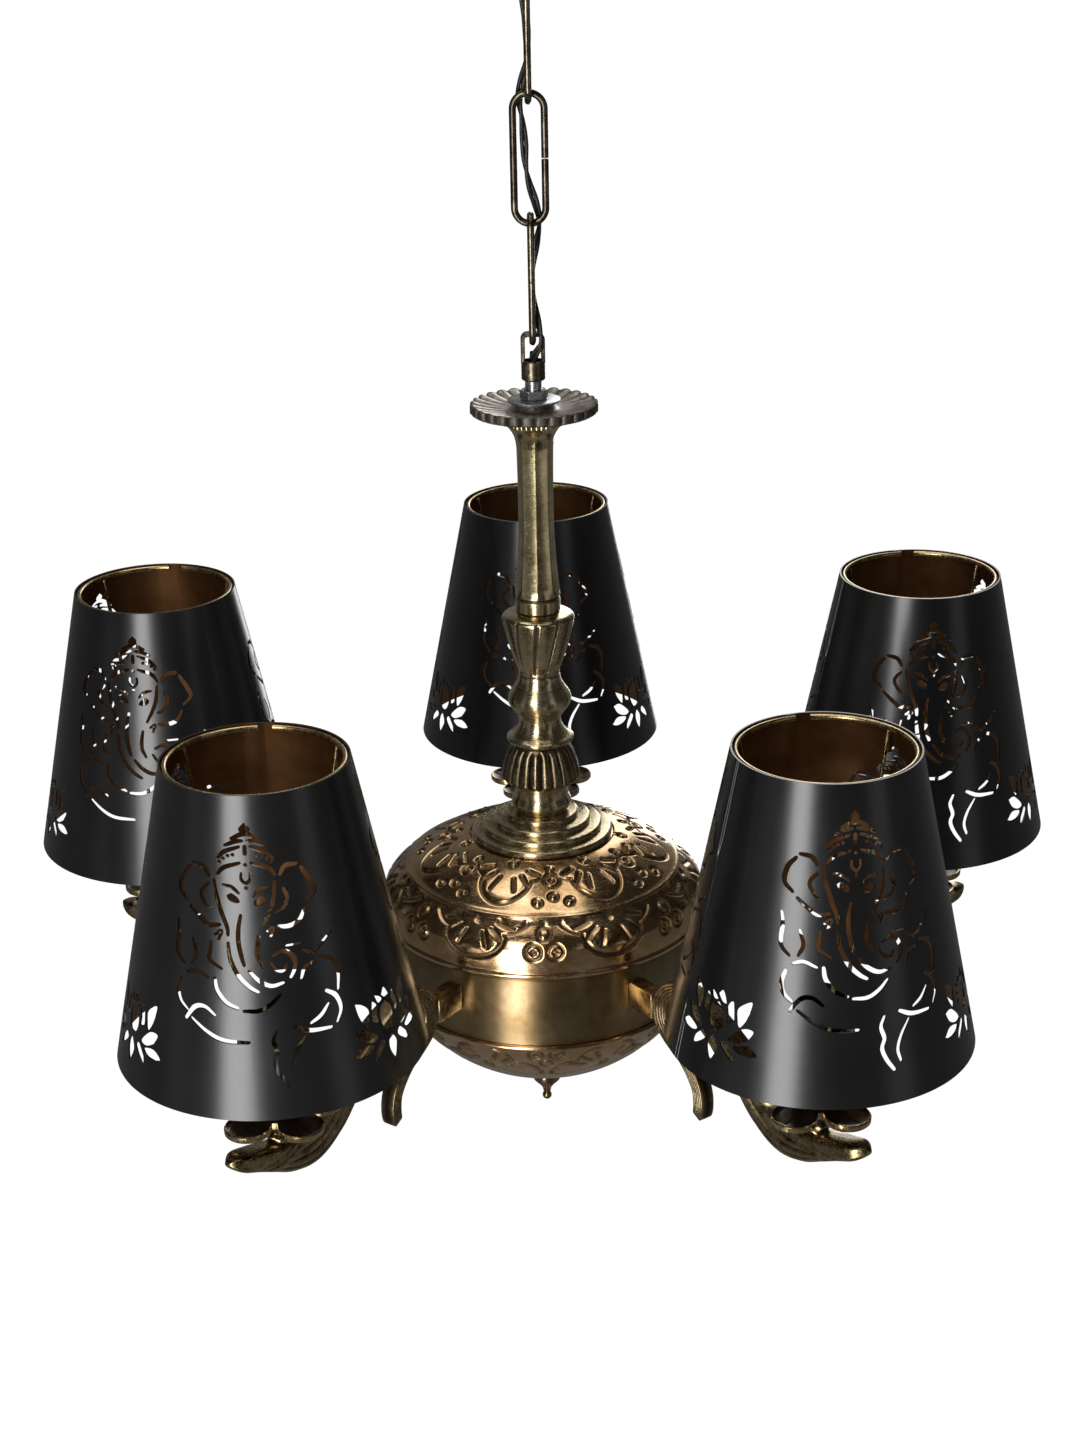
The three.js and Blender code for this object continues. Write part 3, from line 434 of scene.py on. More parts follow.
porcelain = plastic("porcelain", (0.70, 0.68, 0.62), (0.80, 0.78, 0.73), 0.22, 2.0, 0.02)


def block(low, high, bevel):
    """A block with rounded edges, from its two corners."""
    low, high = np.array(low, float), np.array(high, float)
    middle, half = (low + high) / 2, (high - low) / 2
    rings = []
    for depth, inset in ((-1, bevel), (-1, bevel * 0.3), (1, bevel * 0.3), (1, bevel)):
        z = middle[2] + depth * (half[2] - (0 if inset == bevel else bevel))
        w, d, r = half[0] - inset, half[1] - inset, bevel
        corners = []
        for cx, cy, start in ((w - r, d - r, 0), (r - w, d - r, 90), (r - w, r - d, 180), (w - r, r - d, 270)):
            corners += quarter((cx, cy), r, start, start + 90, 4)
        rings.append([(middle[0] + x, middle[1] + y, z) for x, y in corners])
    return skin(rings)


low, high = span("ceiling_terminal")
terminal = make("terminal_block", [block(low, high, 1.2)], porcelain, "ceiling_fitting")
stands_for(terminal, "ceiling_terminal")

# The hanger. A strap is bent to a stirrup over the last link and brazed to a tapped coupler, which the rod
# screws into. Under it the rod's thread shows, and a zinc-plated nut and washer clamp the stem together.
strap_thick = 2.4
strap_half = 3.0
stirrup_half = 6.85
hanger_brown = brass("hanger_brown", (0.04, 0.032, 0.024), (0.11, 0.088, 0.06), (0.28, 0.235, 0.165), 0.3, 9)
low, high = span("hanger_stirrup")
coupler_radius = 6.75
coupler_low = low.z
coupler_high = coupler_low + 11
strap_corner = 2.6
across = stirrup_half - strap_thick / 2
strap_path = [(across, coupler_high - 1)]
strap_path += quarter((across - strap_corner, high.z - strap_thick / 2 - strap_corner), strap_corner,
                      0, 90, 8)
strap_path += [(-x, z) for x, z in reversed(strap_path[1:])] + [(-across, coupler_high - 1)]
strap_line = np.array([(x, 0, z) for x, z in strap_path])
thin, broad, soft = strap_thick / 2, strap_half, 0.5
strap_section = [(thin - soft, -broad), (thin, soft - broad), (thin, broad - soft), (thin - soft, broad),
                 (soft - thin, broad), (-thin, broad - soft), (-thin, soft - broad), (soft - thin, -broad)]
outward = np.cross(frames_along(strap_line)[0], (0, 1, 0))
strap = [[point + u * out + np.array((0, v, 0)) for u, v in strap_section]
         for point, out in zip(strap_line, outward)]
coupler = [(bore, coupler_low), (coupler_radius - 0.6, coupler_low), (coupler_radius, coupler_low + 0.6),
           (coupler_radius, coupler_high - 0.6), (coupler_radius - 0.6, coupler_high), (bore, coupler_high)]
hanger = make("stirrup_and_coupler", [skin(strap), turned(coupler, 64)[0]], hanger_brown, "chandelier")
stands_for(hanger, "hanger_stirrup")

thread_pitch = 1.0
thread_radius = 5.0
thread_depth = 0.55
thread_top = coupler_low + 2
thread_bottom = levels("top_nut")[0] - 2
zinc = brass("zinc", (0.30, 0.31, 0.32), (0.46, 0.47, 0.48), (0.66, 0.67, 0.68), 0.3, 6, 0.2, 0.02, 0.0)
turns = int((thread_top - thread_bottom) / thread_pitch)
thread_steps = 40
crest = []
for step in range(turns * thread_steps + 1):
    angle = 2 * math.pi * step / thread_steps
    z = thread_bottom + thread_pitch * step / thread_steps
    fade = min(1, step / thread_steps, (turns * thread_steps - step) / thread_steps)
    tip = thread_radius - thread_depth * (1 - fade) - 0.02
    root = thread_radius - thread_depth - 0.6
    crest.append([(r * math.sin(angle), -r * math.cos(angle), z + dz) for r, dz in
                  ((root, -0.44), (tip, -0.08), (tip, 0.08), (root, 0.44))])
rod_low, rod_high = span("centre_rod")
rod_bore = 3.8
core_line = [(rod_bore, rod_low.z), (thread_radius - thread_depth, rod_low.z),
             (thread_radius - thread_depth, rod_high.z), (rod_bore, rod_high.z)]
rod = make("threaded_rod", [turned(core_line, 48)[0], skin(crest)], zinc, "chandelier", crease=30)
stands_for(rod, "centre_rod")


def hexagon(azimuth):
    """How far a hexagon of unit half-width reaches at each azimuth."""
    return 1 / np.cos((azimuth + math.pi / 6) % (math.pi / 3) - math.pi / 6)


def nut(name, node, half_width, material, twist=0):
    """A hexagon nut with its corners chamfered."""
    low, high = span(node)
    corner = half_width * 1.1547

    def shape(azimuth, radius, height):
        reach = half_width * hexagon(azimuth - twist)
        drop = 0.58 * (reach - half_width)
        radius = np.where(radius > 1.05 * half_width, np.broadcast_to(reach, radius.shape), radius)
        height = np.where((radius > half_width) & (height == high.z), height - drop, height)
        height = np.where((radius > half_width) & (height == low.z), height + drop, height)
        return radius, height, 0 * radius

    profile = [(bore, low.z), (half_width, low.z), (corner, low.z), (corner, high.z), (half_width, high.z),
               (bore, high.z)]
    spin(name, node, profile, material, shape=shape, crease=25)


nut("top_nut_hex", "top_nut", 7.0, zinc, math.radians(8))
low, high = span("top_washer")
disc_radius = high.x
disc = [(bore, low.z), (disc_radius - 0.3, low.z), (disc_radius, low.z + 0.4), (disc_radius, high.z - 0.3),
        (disc_radius - 0.6, high.z), (bore, high.z)]
spin("top_washer_disc", "top_washer", disc, zinc)

# The top dish. A thin casting with a raised boss, a fluted floor and a wavy, notched rim, left brown and matt
# like the foundry skin, with its rim nearly black.
flute_count = 28
dish_brown = brass("dish_brown", (0.17, 0.145, 0.12), (0.42, 0.37, 0.315), (0.62, 0.57, 0.50), 0.38, 7, 0,
                   0.05, 0.1)
dish_foot, dish_top = levels("bobeche_dish")
dish_radius = 36.4


def under(level, *points):
    """Points of an outline, from their radii and how far they lie under a level."""
    return [(radius, level - drop) for radius, drop in points]


def dish_shape(azimuth, radius, height):
    """Flutes that deepen outward on the floor, and notches in the rim."""
    wave = np.abs(np.sin(flute_count * azimuth / 2))
    share = np.clip((radius - 13) / (dish_radius - 13), 0, 1)
    upper = height > dish_top - 5
    notch = 1.7 * (1 - wave) ** 2 * (share > 0.9)
    lift = np.where(upper, 1.1 * share * (wave - 1), 0.5 * share * (wave - 1))
    deep = np.where(upper & (share > 0.05), (1 - wave) ** 1.5 * (0.35 + 0.65 * share), 0)
    edge = np.where(share > 0.93, 0.8, 0)
    return radius - notch, height + lift, np.maximum(deep, edge)


dish_outline = [
    *under(dish_top, (bore, 0), (9.4, 0), (10.4, 0.5)),
    *flow(under(dish_top, (11, 2), (14, 3.6), (22, 3.2), (30, 1.6), (dish_radius - 1.4, 0.2)), 5),
    *under(dish_top, (dish_radius - 0.4, 0.3), (dish_radius, 1.4), (dish_radius, 5), (dish_radius - 1.2, 5.9)),
    *flow(under(dish_top, (30, 6.4), (22, 7.6)) + [(17.2, dish_foot)], 4), (bore, dish_foot),
]
spin("top_dish", "bobeche_dish", dish_outline, dish_brown, steps=14 * flute_count,
     shape=dish_shape)

# The column. An octagonal brass casting with a beaded head that swells below, and ends in a plain round
# collar.
column_brass = brass("column_brass", (0.34, 0.27, 0.14), (0.56, 0.46, 0.26), (0.72, 0.61, 0.39), 0.2, 14,
                     0.2, 0.03)
foot, head = levels("stem_column")
facet_depth = 0.72
bead_count = 34


def octagon(azimuth):
    """How far an octagon of unit corner radius reaches at each azimuth."""
    return math.cos(math.pi / 8) / np.cos(azimuth % (math.pi / 4) - math.pi / 8)


def column_shape(azimuth, radius, height):
    """Eight flats between the head and the collar, and beads round the head."""
    flat = np.clip((head - 9 - height) / 7, 0, 1) * np.clip((height - foot - 9) / 5, 0, 1)
    beads = np.abs(np.sin(bead_count / 2 * azimuth))
    beaded = np.abs(height - (head - 2)) < 1.9
    faceted = radius * (1 + flat * facet_depth * (octagon(azimuth) - 1)) - 0.7 * (1 - beads) * beaded
    groove = np.exp(-((height - foot - 8.3) / 0.9) ** 2) + (1 - beads) ** 2 * beaded
    return np.where(radius > 6, faceted, radius), height, groove


column_outline = [
    (bore, head), (16.6, head), *flow(under(head, (17.2, 0.5), (17.4, 2), (17.2, 3.6)), 3),
    *flow(under(head, (15.6, 4.6), (12.6, 9), (10.8, 15), (10.4, 24), (10.2, 45))
          + under(foot, (10.3, -52), (11.3, -31), (12.6, -16), (13.1, -9.6)), 6),
    *under(foot, (12.2, -8.6), (12.2, -8), (13, -7.4), (13.2, -6.6), (13.2, -0.6), (12.8, 0), (bore, 0)),
]
spin("column_casting", "stem_column", column_outline, column_brass, steps=6 * bead_count,
     shape=column_shape, crease=22)

# The vase. Broad plain tongues alternate with narrow curved flutes, sand-cast and then rubbed bright on top.
vase_flutes = 10
vase_foot, vase_top = levels("stem_vase")


def vase_shape(azimuth, radius, height):
    """Narrow flutes, leaning a little, in from the shoulder to the foot."""
    share = np.clip((vase_top - height) / (vase_top - vase_foot), 0, 1)
    phase = vase_flutes * (azimuth + 0.25 * share) / 2
    groove = np.exp(-(np.sin(phase) / 0.22) ** 2)
    strength = np.clip((share - 0.04) / 0.08, 0, 1) * np.clip((0.97 - share) / 0.1, 0, 1) * (radius > 7)
    return radius - 1.0 * groove * strength, height, groove * strength


vase_outline = [(bore, vase_top), (12.6, vase_top)]
vase_outline += flow(under(vase_top, (13.4, 0.4), (18.6, 1.4), (21, 3.2), (20.9, 6), (19.6, 12), (17, 22),
                           (14.2, 31)) + [(12.4, vase_foot + 3), (12.3, vase_foot + 0.8)], 6).tolist()
vase_outline += [(11.8, vase_foot), (bore, vase_foot)]
vase_brass = brass("vase_brass", (0.30, 0.24, 0.125), (0.52, 0.42, 0.24), (0.68, 0.57, 0.36), 0.22, 12,
                   0.1, 0.03)
spin("vase_casting", "stem_vase", vase_outline, vase_brass, steps=240, shape=vase_shape)

# The knop. A turned and polished ball between two necks that flares to a lip, with a scored line under the
# ball.
polished = brass("polished", (0.38, 0.29, 0.16), (0.58, 0.47, 0.28), (0.72, 0.61, 0.40), 0.27, 26, 0.7, 0.02,
                 brushed=0.85)
knop_foot, knop_top = levels("stem_knop")


def knop_shape(azimuth, radius, height):
    """Two scored lines round the ball."""
    lines = sum(np.exp(-((height - knop_top + depth) / 0.35) ** 2) for depth in (7.5, 22.5))
    lines = lines * (radius > 7)
    return radius - 0.35 * lines, height, 0.8 * lines + 0 * azimuth


knop_outline = [(bore, knop_top), (11.8, knop_top)]
knop_outline += flow(under(knop_top, (12.4, 0.8), (13, 4), (15.2, 8), (18, 12.4), (18.8, 15.6), (18, 19),
                           (15.2, 23), (12.9, 26.6), (12.5, 29.4), (13.2, 32.6), (16.2, 37))
                     + under(knop_foot, (19.5, -3.6), (20, -2.4), (19.2, -1)), 6).tolist()
knop_outline += [(15.6, knop_foot), (bore, knop_foot)]
spin("knop_turning", "stem_knop", knop_outline, polished, shape=knop_shape, steps=120)

# The bell. Gadroons, dark in the cuts between them, swell down to a plain edge over the socket.
gadroons = 20
bell_foot, bell_top = levels("gadroon_bell")
bell_brass = brass("bell_brass", (0.10, 0.072, 0.038), (0.24, 0.18, 0.10), (0.42, 0.34, 0.205), 0.24, 12,
                   0.0, 0.04)


def bell_shape(azimuth, radius, height):
    """Rounded ribs with sharp cuts between them."""
    rib = np.abs(np.sin(gadroons * azimuth / 2)) ** 0.6
    strength = np.clip((bell_top - 1 - height) / 4, 0, 1) * np.clip((height - bell_foot - 0.4) / 2, 0, 1)
    strength = strength * (radius > 7)
    return radius - 1.5 * (1 - rib) * strength, height, (1 - rib) * strength


bell_outline = [(bore, bell_top), (14.6, bell_top)]
bell_outline += flow(under(bell_top, (15.8, 0.6), (19.2, 5.6), (22, 13), (23.3, 19), (23.2, 22.4))
                     + [(21.4, bell_foot + 1.4)], 7).tolist()
bell_outline += [(18.6, bell_foot), (bore, bell_foot)]
spin("bell_casting", "gadroon_bell", bell_outline, bell_brass, steps=320, shape=bell_shape)

# The socket under the bell, and the stepped plate it stands on: both are turned and polished.
foot, top = levels("stem_socket")
socket_outline = [
    (bore, top), (16, top), (16.4, top - 0.5), *flow([(16.4, top - 1), (15.9, top - 4), (16.1, foot + 9.4)], 5),
    (16.7, foot + 8.6), *flow(under(foot, (16.9, -8.2), (17.8, -6), (17.5, -3.4), (16.2, -1.2)), 5),
    (15.4, foot), (bore, foot),
]
spin("socket_turning", "stem_socket", socket_outline, polished)
plate_foot, plate_top = levels("stepped_plate")
step_radii = (22.1, 29.3, 36.1, 42.3)
step_fall = (plate_top - plate_foot) / len(step_radii)
plate_outline = [(bore, plate_top)]
for number, radius in enumerate(step_radii):
    tread = plate_top - number * step_fall
    plate_outline += flow([(radius - 2.2, tread), (radius - 0.9, tread - 0.3), (radius - 0.1, tread - 1.4),
                           (radius, tread - 2.4), (radius - 0.3, tread - step_fall)], 4).tolist()
plate_outline += [(39.4, plate_foot), (bore, plate_top - 1.2)]


def plate_shape(azimuth, radius, height):
    """The corner under each step keeps its brown."""
    fall = (plate_top - height) / step_fall
    return radius, height, 0.7 * np.clip((fall - np.floor(fall)) - 0.8, 0, 1) / 0.2 + 0 * azimuth


spin("stepped_turning", "stepped_plate", plate_outline, polished, steps=160,
     shape=plate_shape)

# The drum cover. Sheet brass is pressed to a flattened dome and chased from the front: big three-lobed
# leaves and ringed flowers round the top, palmettes and trios of rings round the side, and a rolled bead
# near the rim.
chase_depth = 1.4
chase_swell = 0.6
chase_width = 1.1
vein_leans = (0.38, 0.78, 1.18)
leaf_count = 7
dome_top = plate_foot - 0.3
crease = dome_top - 17.8
belly = crease - 21
bead = belly - 10
dome_foot = span("dome_cover")[0].z
lip = span("drum_band")[1].z + 0.3
crease_radius, belly_radius, band_radius, spigot_radius = 81.7, 97.0, 90.4, 88.2
drum_brass = brass("drum_brass", (0.32, 0.185, 0.08), (0.53, 0.34, 0.17), (0.66, 0.48, 0.27), 0.2, 34, 0.2,
                   0.03, brushed=0.4)


# Each motif has three-lobed leaves of (root, length, widening) and rings of (x, y, radius).
top_leaf = ([(5, 31, 0.85)], [(0, 6, 2.4)])
top_rings = ([], [(0, 18, 4.6), (0, 18, 1.2), (-9.5, 34, 2.5), (9.5, 34, 2.5), (0, 30, 2.6), (0, 9, 1.8)])
side_leaf = ([(1, 24, 1.3)], [(0, 2.8, 2.3)])
side_trio = ([], [(-6.4, 19.5, 4.4), (6.4, 19.5, 4.4), (-6.4, 19.5, 1.2), (6.4, 19.5, 1.2), (0, 9.8, 3.7)])


def chased(x, y, motif):
    """How deep a motif is cut at each point, and how far its leaves swell."""
    leaves, rings = motif
    cut, swell = np.zeros(x.shape), np.zeros(x.shape)
    for root, length, widening in leaves:
        away, lean = np.hypot(x / widening, y - root), np.abs(np.arctan2(x / widening, y - root))
        reach = length * (0.72 + 0.28 * np.abs(np.cos(1.7 * lean)) ** 0.8) * np.clip(5 - 2 * lean, 0.2, 1)
        cut = np.exp(-((away - reach) / chase_width) ** 2)
        swell = np.clip((reach - away) / 5, 0, 1) ** 0.7
        for vein in vein_leans:
            past = np.clip(np.abs(away * np.cos(lean - vein) / length - 0.6) - 0.16, 0, 1) * length
            cut = np.maximum(cut, np.exp(-(np.hypot(away * np.sin(lean - vein), past) / chase_width) ** 2))
    for px, py, radius in rings:
        away = np.hypot(x - px, y - py)
        cut = np.maximum(cut, np.exp(-((away - radius) / (0.8 * chase_width)) ** 2))
        swell = np.maximum(swell, np.clip(1 - away / radius, 0, 1))
    return cut, swell


def repeated(azimuth, radius, rounds):
    """Motifs round the axis, each with its shift in degrees, distance from its root and where it shows."""
    cell = 2 * math.pi / leaf_count
    cut, swell = 0, 0
    for motif, shift, down, where in rounds:
        local = (azimuth - math.radians(shift) + cell / 2) % cell - cell / 2
        deep, high = chased(local * radius, down + 0 * azimuth, motif)
        cut = np.maximum(cut, deep * where)
        swell = np.maximum(swell, high * where)
    return cut, swell


def dome_shape(azimuth, radius, height):
    """The chasing, measured out round the dome and down its slope from each motif's root."""
    down_top = np.hypot(radius - 42.4, dome_top - height)
    down_side = crease - height + 0.35 * np.clip(radius - crease_radius, 0, 10)
    on_top = (height > crease + 1.6) & (radius > 43)
    on_side = (height < crease - 1.5) & (height > belly - 6) & (radius > 83)
    cut, swell = repeated(azimuth, radius, (
        (top_leaf, -21, down_top, on_top), (top_rings, 4.7, down_top, on_top),
        (side_leaf, -25.7, down_side, on_side), (side_trio, 0, down_side, on_side)))
    move = chase_swell * swell * (1 - cut) - chase_depth * cut
    rim = np.exp(-((height - crease) / 0.8) ** 2) * (np.abs(radius - crease_radius) < 2)
    slope = np.where(height > crease, 0.25, 0.85)
    return radius + move * slope + 0.5 * rim, height + move * (1 - slope) + 0.3 * rim, 0.8 * cut


dome_outline = [(bore, dome_top + 3), (38, dome_top + 0.2)]
dome_outline += flow(under(dome_top, (42.4, 0.2), (52, 2.6), (62, 6.4), (72, 11.4))
                     + [(crease_radius - 2.4, crease + 1.6)], 16).tolist()
dome_outline += flow([(crease_radius - 1.2, crease + 0.9), (crease_radius + 0.6, crease - 0.1),
                      (crease_radius + 1.6, crease - 1.4)], 3).tolist()
dome_outline += flow(under(crease, (86, 3.6), (92, 8.6), (95.6, 13.6)) + [(belly_radius - 0.4, belly + 2),
                      (belly_radius, belly - 3), (belly_radius - 0.1, bead + 2.6)], 14).tolist()
dome_outline += flow([(belly_radius + out, bead + up) for out, up in
                      ((0.1, 1.9), (1, 1), (1.2, 0), (0.8, -1.1), (-0.6, -1.9))], 3).tolist()
dome_outline += flow([(belly_radius - 2.4, bead - 2.8), (92.4, bead - 5), (band_radius + 0.2, lip)],
                     4).tolist()
dome_outline += [(spigot_radius, lip), (spigot_radius, dome_foot), (spigot_radius - 1.2, dome_foot),
                 (spigot_radius - 1.2, lip + 2), (96, bead), (96.2, belly),
                 (crease_radius - 0.6, crease - 1.6), (42.4, dome_top - 1.6), (bore, dome_top + 1.8)]
spin("dome_pressing", "dome_cover", dome_outline, drum_brass, steps=720, shape=dome_shape,
     crease=55)

# The band and the bowl. The plain band takes the arms; the spun bowl fits up inside it and turns out to a
# lip.
band_brass = brass("band_brass", (0.24, 0.155, 0.065), (0.36, 0.255, 0.13), (0.46, 0.355, 0.20), 0.4, 40,
                   0.8, 0.02, brushed=0.95)
band_low, band_high = levels("drum_band")
band_outline = [(band_radius - 1.5, band_low), (band_radius - 0.4, band_low), (band_radius, band_low + 0.5),
                (band_radius, band_high - 0.5), (band_radius - 0.4, band_high), (band_radius - 1.5, band_high)]
spin("band_ring", "drum_band", band_outline, band_brass, steps=180)
bowl_low, bowl_high = span("bottom_bowl")
bowl_rim = band_low - 0.3
bowl_depth = bowl_rim - 3 - bowl_low.z
rim_radius = 91.3
ball = (rim_radius**2 + bowl_depth**2) / (2 * bowl_depth)
ball_centre = bowl_low.z + ball
edge = math.degrees(-math.asin((ball - bowl_depth) / ball))
hub = math.degrees(-math.acos(bore / ball))
bowl_outline = [(spigot_radius, bowl_high.z), (spigot_radius, bowl_rim), (rim_radius - 0.4, bowl_rim),
                *flow([(rim_radius + 0.5, bowl_rim - 0.5), (rim_radius + 0.9, bowl_rim - 1.6),
                       (rim_radius + 0.5, bowl_rim - 2.6)], 3),
                *quarter((0, ball_centre), ball, edge - 0.6, hub, 100),
                *quarter((0, ball_centre), ball - 1.2, hub, edge - 1, 24), (spigot_radius - 1.2, bowl_high.z)]


def bowl_shape(azimuth, radius, height):
    """The drum cover's side motifs, chased upside down under the rim."""
    down = 25 - np.hypot(rim_radius - radius, bowl_rim - 3 - height)
    where = (np.hypot(radius, height - ball_centre) > ball - 0.6) & (height < bowl_rim - 4.5) & (radius > 50)
    cut, swell = repeated(azimuth, radius, ((side_leaf, -25.7, down, where), (side_trio, 0, down, where)))
    move = 0.3 * swell * (1 - cut) - chase_depth * cut
    return radius + 0.6 * move, height - 0.8 * move, 0.9 * cut


spin("bowl_spinning", "bottom_bowl", bowl_outline, drum_brass, steps=720, shape=bowl_shape,
     crease=55)

# The finial and what the drum hides. The copper-coloured finial screws on the rod's end. Above it, inside,
# lie the lock nut and the porcelain ring that joins the lead to the wires of the arms.
copper = brass("copper", (0.13, 0.075, 0.042), (0.30, 0.19, 0.11), (0.48, 0.34, 0.21), 0.24, 8, 0.4, 0.02,
               brushed=0.5)
tip, seat = levels("finial")
finial_outline = [
    (0, seat - 9.3), (bore, seat - 9.3), (bore, seat), (6.2, seat), (6.6, seat - 0.8),
    *flow([(6.7, seat - 3), (7.0, seat - 6.6)], 3), (7.8, seat - 7.4),
    *flow([(8.5, seat - 9), (8.7, seat - 12), (8.2, seat - 15)], 4), (7.0, seat - 15.6), (6.8, seat - 16.6),
    *flow([(5.6, seat - 17.6), (4.2, seat - 19.4), (2.8, seat - 21.6), (2.3, seat - 24)], 4),
    *quarter((0, tip + 3), 2.9, 50, -90, 14),
]
spin("finial_turning", "finial", finial_outline, copper, steps=72)
nut("lock_nut_hex", "lock_nut", 7.0, mild_steel)
low, high = span("drum_connector")
connector_radius = high.y
connector = [(bore, low.z), (connector_radius - 1, low.z), (connector_radius - 0.2, low.z + 1),
             (connector_radius - 0.2, high.z - 2), (connector_radius - 1.6, high.z - 0.8),
             (connector_radius - 3, high.z), (bore, high.z)]


def connector_shape(azimuth, radius, height):
    """Five bays for the branch wires."""
    bay = np.exp(-(np.sin(2.5 * azimuth) / 0.35) ** 2) * (radius > 12)
    return radius - 1.6 * bay, height, 0 * radius


spin("connector_ring", "drum_connector", connector, porcelain, shape=connector_shape, steps=160)

# The arms. Each is one brass casting, narrow across and deep: a boss screwed to the band, a strap that rolls
# over a scroll to its foot and runs out as a spoon-shaped leaf, its sides ribbed, and a stem that holds the
# cup and holder.
arm_radius = 247
arm_level = (band_low + band_high) / 2
arm_base = 90.18
leaf_line = [(41, -8.2, 7.5, 11), (33, -11, 10, 16), (21, -15.2, 12.4, 17.5), (7, -20.6, 16, 17.5),
             (-7, -24.6, 21.6, 17.5), (-22, -24.4, 27, 17.5), (-37, -17.4, 27, 17), (-52, -6.3, 21, 16)]
scroll_line = [(91, 2.2, 16, 16), (77, 11.7, 13, 15), (64, 18.2, 12, 14), (53, 23.2, 10.5, 12),
               (43, 23.7, 9.5, 11), (35, 20, 9.5, 10), (30, 13.7, 11, 10), (27.5, 6.7, 12.5, 10),
               (28.5, -0.8, 12, 10), (33, -6.8, 11, 10), (40, -11.8, 10, 10), (48.5, -17.3, 9, 9.5),
               (56, -24.8, 8.5, 9.5), (61, -32.8, 8, 9.5), (62.5, -40.8, 8, 9.5), (62, -47.8, 7.5, 9.5),
               (60.5, -51.3, 6, 9)]
arm_brass = brass("arm_brass", (0.06, 0.044, 0.022), (0.32, 0.235, 0.12), (0.60, 0.46, 0.26), 0.26, 9, 0,
                  0.05, spread=(0.34, 0.7))
gilt = brass("gilt", (0.24, 0.16, 0.07), (0.44, 0.32, 0.15), (0.62, 0.48, 0.26), 0.26, 16, 0, 0.02)
arm_per = 9
arm_rows = [(arm_radius + out, up, *size) for out, up, *size in leaf_line]
arm_rows += [(arm_base + out, up, *size) for out, up, *size in scroll_line]
arm_flow = flow(arm_rows, arm_per)
arm_line = np.stack([arm_flow[:, 0], 0 * arm_flow[:, 0], arm_flow[:, 1]], -1)
arm_along = np.gradient(arm_line, axis=0)
arm_along /= np.linalg.norm(arm_along, axis=1, keepdims=True)
arm_face = np.stack([arm_along[:, 2], 0 * arm_along[:, 0], -arm_along[:, 0]], -1)
share = np.arange(len(arm_line)) / arm_per
last = share[-1]
rounding = np.sqrt(np.clip(1 - (1 - np.clip(share / 1.3, 0, 1)) ** 2, 0.03, 1))
rounding *= np.sqrt(np.clip(1 - (1 - np.clip((last - share) / 0.7, 0, 1)) ** 2, 0.1, 1))
half_depth = arm_flow[:, 2] / 2 * rounding
half_width = arm_flow[:, 3] / 2 * rounding
rib_count = 5
side_places = np.linspace(-1, 1, 49)


def arm_section(at):
    """Points round the casting at a share of its length: two ribbed sides, a plain back and a plain belly,
    whose scroll part carries painted shade.
    """
    ribs = np.abs(np.cos(math.pi * rib_count * side_places / 2)) ** 0.55
    ribs[np.abs(side_places) > 0.93] = 1
    ends = 3.3 + 1.2 * side_places
    strength = np.clip((at - ends) / 0.8, 0, 1) * np.clip((last - at) / 2.5, 0, 1)
    chasing = sum(weight * np.exp(-((at - ends + shift) / 0.09) ** 2)
                  for shift, weight in ((0.1, 0.8), (0.75, 0.4))) * (np.abs(side_places) < 0.85)
    sink = np.clip((1 - ribs) * strength + chasing, 0, 1)
    thick = float(np.clip((at - 5) / 3, 0.3, 1))
    edge = 0.86 * thick
    soft = np.sqrt(np.clip(1 - np.abs(side_places) ** (2 + 8 * thick), 0, 1)) * (1 - edge) + edge
    side = [(w, v, h) for w, v, h in zip(soft, side_places, sink)]
    # Painted shade: from the scroll on, the back and belly are darkened to nearly black, as faces the light
    # does not reach.
    dark = float(np.clip((at - 9) / 3, 0, 1))
    return side, [(0.64 * edge, 1.0, 0.8 * dark), (0, 1.02, dark), (-0.64 * edge, 1.0, 0.8 * dark)]


# The darkening kept for each point holds the rib grooves' patina and the painted shade on the back and belly.
casting, casting_sunk_and_shade = [], []
for point, face, w, t, at in zip(arm_line, arm_face, half_width, half_depth, share):
    side, back = arm_section(at)
    groove = 1.3 if at < 8 else 0.9
    around = [(w * u - groove * h * min(1, w / 6), v, h) for u, v, h in side]
    around += [(w * u, v, h) for u, v, h in back]
    around += [(groove * h * min(1, w / 6) - w * u, v, h) for u, v, h in reversed(side)]
    around += [(-w * u, -v, h) for u, v, h in back]
    casting.append([point + (0, u, 0) + face * v * t for u, v, _ in around])
    casting_sunk_and_shade += [h for _, _, h in around]
boss_low = (arm_base, -5.9, -3.4)
boss_high = (arm_base + 22, 5.9, 12.4)
boss = block(boss_low, boss_high, 1.0)
stem_outline = [
    (0, -25), (6.0, -25), *flow([(6.2, -21), (6.1, -18), (5.0, -15.5), (6.4, -12.8), (6.9, -10), (5.4, -7.4),
    (5.6, -5), (7.2, -2.4), (7.6, 0.2)], 5), (7.0, 2.1), (5, 2.2), (5, 16.2), (0, 16.2),
]


def stem_shape(azimuth, radius, height):
    """The uneven, knotted surface of the casting, with leaf tips round its foot."""
    knots = 0.5 * np.sin(3 * azimuth + height) + 0.35 * np.sin(5 * azimuth - 0.7 * height)
    return radius + knots * (radius > 4.8) * (height < 1), height, 0.5 * (radius < 5.8) + 0 * azimuth


stem_shell, stem_sunk = turned(stem_outline, 60, stem_shape)
stem_shell = (stem_shell[0] + (arm_radius, 0, 0), stem_shell[1])
arm_shells = [skin(casting), stem_shell, boss]
arm_sunk_and_shade = np.concatenate([casting_sunk_and_shade, stem_sunk, np.zeros(len(boss[0]))])
arm_azimuths = [-36 + 72 * number for number in range(5)]


